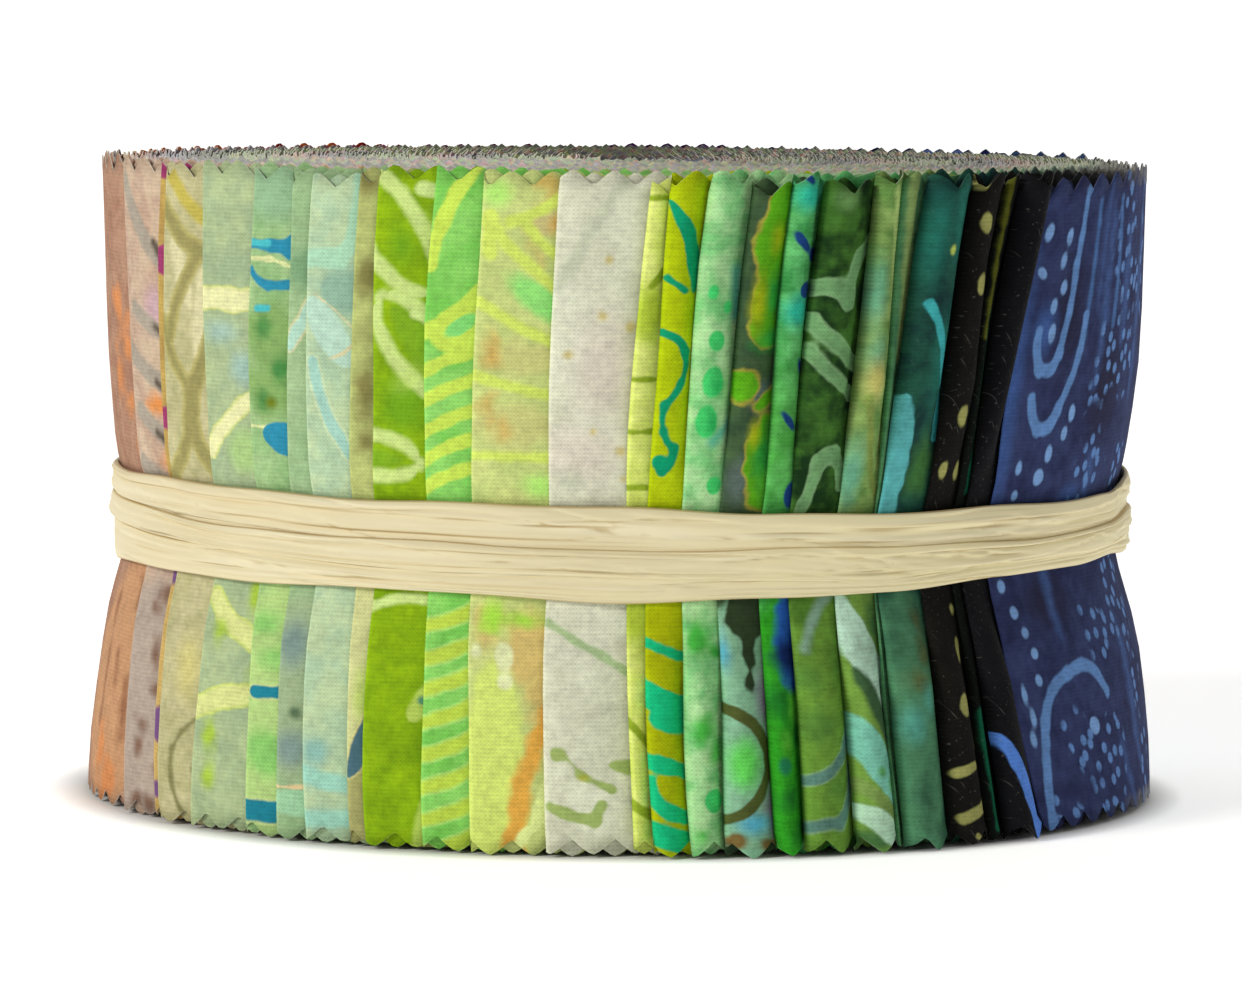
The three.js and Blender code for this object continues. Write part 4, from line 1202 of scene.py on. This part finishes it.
def raffia_pass(run, material):
    """One flattened, creased pass of raffia, closed round the roll, with its joint at the back."""
    angle = np.linspace(180.0, 540.0, RAFFIA_STEPS + 1)
    around = np.linspace(-0.5 * math.pi, 1.5 * math.pi, RAFFIA_SIDES + 1)
    turn = np.radians(angle)
    waver = 0.12 * np.sin(turn * 7 + run.seed * 2.1) + 0.07 * np.sin(turn * 17 + run.seed)
    upper = tie_height(run.above, angle) + OVERLAP + waver
    lower = tie_height(run.below, angle) - run.hidden - OVERLAP + 0.8 * np.roll(waver, 20)
    # A narrow pass runs on behind the one above it
    upper = np.maximum(upper, lower + NARROWEST)
    middle = (upper + lower) / 2
    half = (upper - lower) / 2

    angle, around = np.meshgrid(angle, around, indexing="ij")
    turn = np.radians(angle)
    across = np.sign(np.cos(around)) * np.abs(np.cos(around)) ** 0.8
    out = np.sin(around)
    depth, step = raffia_creases(angle, across, run.seed)
    shown = smooth(out * 2.5)
    # Painted shade along the edges of each pass, where it meets the next
    edge = 0.8 * smooth((np.abs(across) - 0.84) / 0.14)
    thickness = RAFFIA_THICKNESS * (0.5 + 0.1 * np.sin(turn * 3 + run.seed))
    radius = RAFFIA_RADIUS + run.seat + RAFFIA_THICKNESS / 2
    radius = radius + thickness * np.where(out > 0, np.maximum(out, 0.0) ** 0.7, out * 0.7)
    radius = radius + shown * (CREASE_STEP * step - CREASE_DEPTH * depth)
    z = middle[:, None] + half[:, None] * across
    x = AXIS[0] + radius * np.sin(turn)
    y = AXIS[1] - radius * np.cos(turn)
    points = np.stack([x, y, z], axis=-1).reshape(-1, 3)

    row = RAFFIA_SIDES + 1
    faces = []
    for first in range(0, RAFFIA_STEPS * row, row):
        for corner in range(first, first + RAFFIA_SIDES):
            faces.append((corner, corner + row, corner + row + 1, corner + 1))
    # Along the strand and round it in millimetres, with each pass on a place of its own
    coordinates = np.stack([turn * RAFFIA_RADIUS, around * 1.6 + run.seed * 20.0], axis=-1)
    # Painted shade in the creases and along the edges, handed to the material as the cut mark
    painted_shade = np.maximum(depth * shown, edge).ravel()
    piece = make_piece(f"{run.node}_strand", points, faces, coordinates.reshape(-1, 2), painted_shade, material)
    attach(piece, "root")
    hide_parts(run.node)
    return piece


def dry_raffia():
    """Pale dry leaf: long fibres, painted light over its right side, and painted shade along the bottoms of
    its folds and the edges of each pass.
    """
    leaf = Cloth("dry_raffia")
    leaf.mix((230, 219, 184), (219, 205, 166), leaf.noise(1.6, 5, 2.0, stretch=22.0))
    # Painted light: the raffia turns lighter from the front round over the right side to the back
    leaf.dye((254, 241, 194), leaf.u.between(300.0, 350.0), 0.85)
    leaf.dye((206, 182, 126), leaf.noise(0.45, 6, 2.0, stretch=60.0).between(0.54, 0.72), 0.5)
    leaf.dye((240, 232, 202), leaf.noise(0.7, 8, 1.0, stretch=50.0).between(0.56, 0.7), 0.4)
    # Painted shade in the creases and along the edges of each pass
    leaf.dye((176, 146, 88), leaf.marked().between(0.3, 0.95), 0.8)
    fibres = leaf.noise(0.3, 9, 2.0, stretch=40.0)
    return leaf.surface(fibres, strength=0.4, depth=0.08, roughness=0.62, shine=0.35)


# Camera, light and floor

CAMERA_DISTANCE = 629.0
CAMERA_HEIGHT = 78.7
CAMERA_PITCH = math.radians(4.5)
CAMERA_ROLL = math.radians(0.51)
PHOTO_WIDTH = 1242
FOCAL_PIXELS = 6309.0
SENSOR = 36.0
PAPER_GLOW = 0.56
PAPER_SHADE = 4.0  # width of the shade round the foot

# Of the paper, in metres: its width, how far behind the roll it rises, how high, and its bend
SWEEP_SIZE = 6.0
SWEEP_BACK = 1.6
SWEEP_RISE = 2.2
SWEEP_COVE = 0.5
NEAR = 0.01


def add_camera():
    """The camera looks along +Y, pitched down and rolled a little, from the front of the roll."""
    forward = Vector((0.0, math.cos(CAMERA_PITCH), -math.sin(CAMERA_PITCH)))
    level = Vector((1.0, 0.0, 0.0))
    right = level * math.cos(CAMERA_ROLL) + level.cross(forward) * math.sin(CAMERA_ROLL)
    turn = Matrix((right, right.cross(forward), -forward)).transposed()
    place = (AXIS[0] * MM, (AXIS[1] - CAMERA_DISTANCE) * MM, CAMERA_HEIGHT * MM)
    bpy.ops.object.camera_add(location=place, rotation=turn.to_euler())
    camera = bpy.context.object
    camera.name = "photo_view"
    camera.data.sensor_width = SENSOR
    camera.data.lens = FOCAL_PIXELS / PHOTO_WIDTH * SENSOR
    camera.data.clip_start = 0.01
    bpy.context.scene.camera = camera


def add_light(name, place, size, power, colour):
    """A round soft light that shines on the middle of the roll."""
    aim = Vector((0.0, 0.0, STRIP_WIDTH / 2 * MM)) - Vector(place)
    turn = aim.to_track_quat("-Z", "Y").to_euler()
    bpy.ops.object.light_add(type="AREA", location=place, rotation=turn)
    light = bpy.context.object
    light.name = name
    light.data.shape = "DISK"
    light.data.size = size
    light.data.energy = power
    light.data.color = colour


def select_edges(mesh, chosen):
    """Selects, in edit mode, only the edges whose two ends pass a test of their place."""
    bpy.ops.mesh.select_mode(type="EDGE")
    bpy.ops.mesh.select_all(action="DESELECT")
    shape = bmesh.from_edit_mesh(mesh)
    for edge in shape.edges:
        edge.select_set(all(chosen(corner.co) for corner in edge.verts))
    bmesh.update_edit_mesh(mesh)


def add_floor():
    """A pale sweep: a floor that curves up behind the roll."""
    place = (0.0, SWEEP_BACK - SWEEP_SIZE / 2, 0.0)
    bpy.ops.mesh.primitive_plane_add(size=SWEEP_SIZE, location=place)
    floor = bpy.context.object
    floor.name = "sweep"
    bpy.ops.object.transform_apply(location=True)
    bpy.ops.object.mode_set(mode="EDIT")
    select_edges(floor.data, lambda corner: corner.y > SWEEP_BACK - NEAR)
    bpy.ops.mesh.extrude_region_move(TRANSFORM_OT_translate={"value": (0.0, 0.0, SWEEP_RISE)})
    select_edges(floor.data, lambda corner: corner.y > SWEEP_BACK - NEAR and corner.z < NEAR)
    bpy.ops.mesh.bevel(offset=SWEEP_COVE, segments=12, affect="EDGES")
    bpy.ops.object.mode_set(mode="OBJECT")
    bpy.ops.object.shade_smooth()
    floor.data.materials.append(pale_paper())


def pale_paper():
    """White paper that glows a little, as in a light tent, but not under the roll."""
    material = bpy.data.materials.new("pale_paper")
    material.use_nodes = True
    tree = material.node_tree
    shader = tree.nodes["Principled BSDF"]
    shader.inputs["Base Color"].default_value = (0.93, 0.93, 0.93, 1.0)
    shader.inputs["Roughness"].default_value = 0.9
    shader.inputs["Specular IOR Level"].default_value = 0.1
    shader.inputs["Emission Color"].default_value = (1.0, 1.0, 1.0, 1.0)
    place = add_node(tree, "TexCoord", {}).outputs["Object"]
    away = add_node(tree, "VectorMath", {0: place}, operation="LENGTH").outputs["Value"]
    inputs = {"Value": away, "From Min": PROFILE[0, 1] * MM, "To Max": PAPER_GLOW}
    inputs["From Max"] = (PROFILE[0, 1] + PAPER_SHADE) * MM
    glow = add_node(tree, "MapRange", inputs)
    tree.links.new(glow.outputs["Result"], shader.inputs["Emission Strength"])
    return material


def add_world():
    world = bpy.data.worlds.new("soft_room")
    bpy.context.scene.world = world
    world.use_nodes = True
    background = world.node_tree.nodes["Background"]
    background.inputs["Color"].default_value = (1.0, 0.99, 0.93, 1.0)
    background.inputs["Strength"].default_value = 0.225


add_camera()
add_world()
add_light("key", (-1.5, -1.3, 1.1), 0.7, 24.5, (1.0, 0.98, 0.92))
add_light("fill", (0.7, -1.9, 0.6), 1.0, 1.2, (1.0, 0.98, 0.93))
add_floor()
bpy.context.scene.view_settings.view_transform = "Standard"

strips = [folded_strip(number) for number in range(COUNT)]

leaf = dry_raffia()
for run in PASSES:
    raffia_pass(run, leaf)
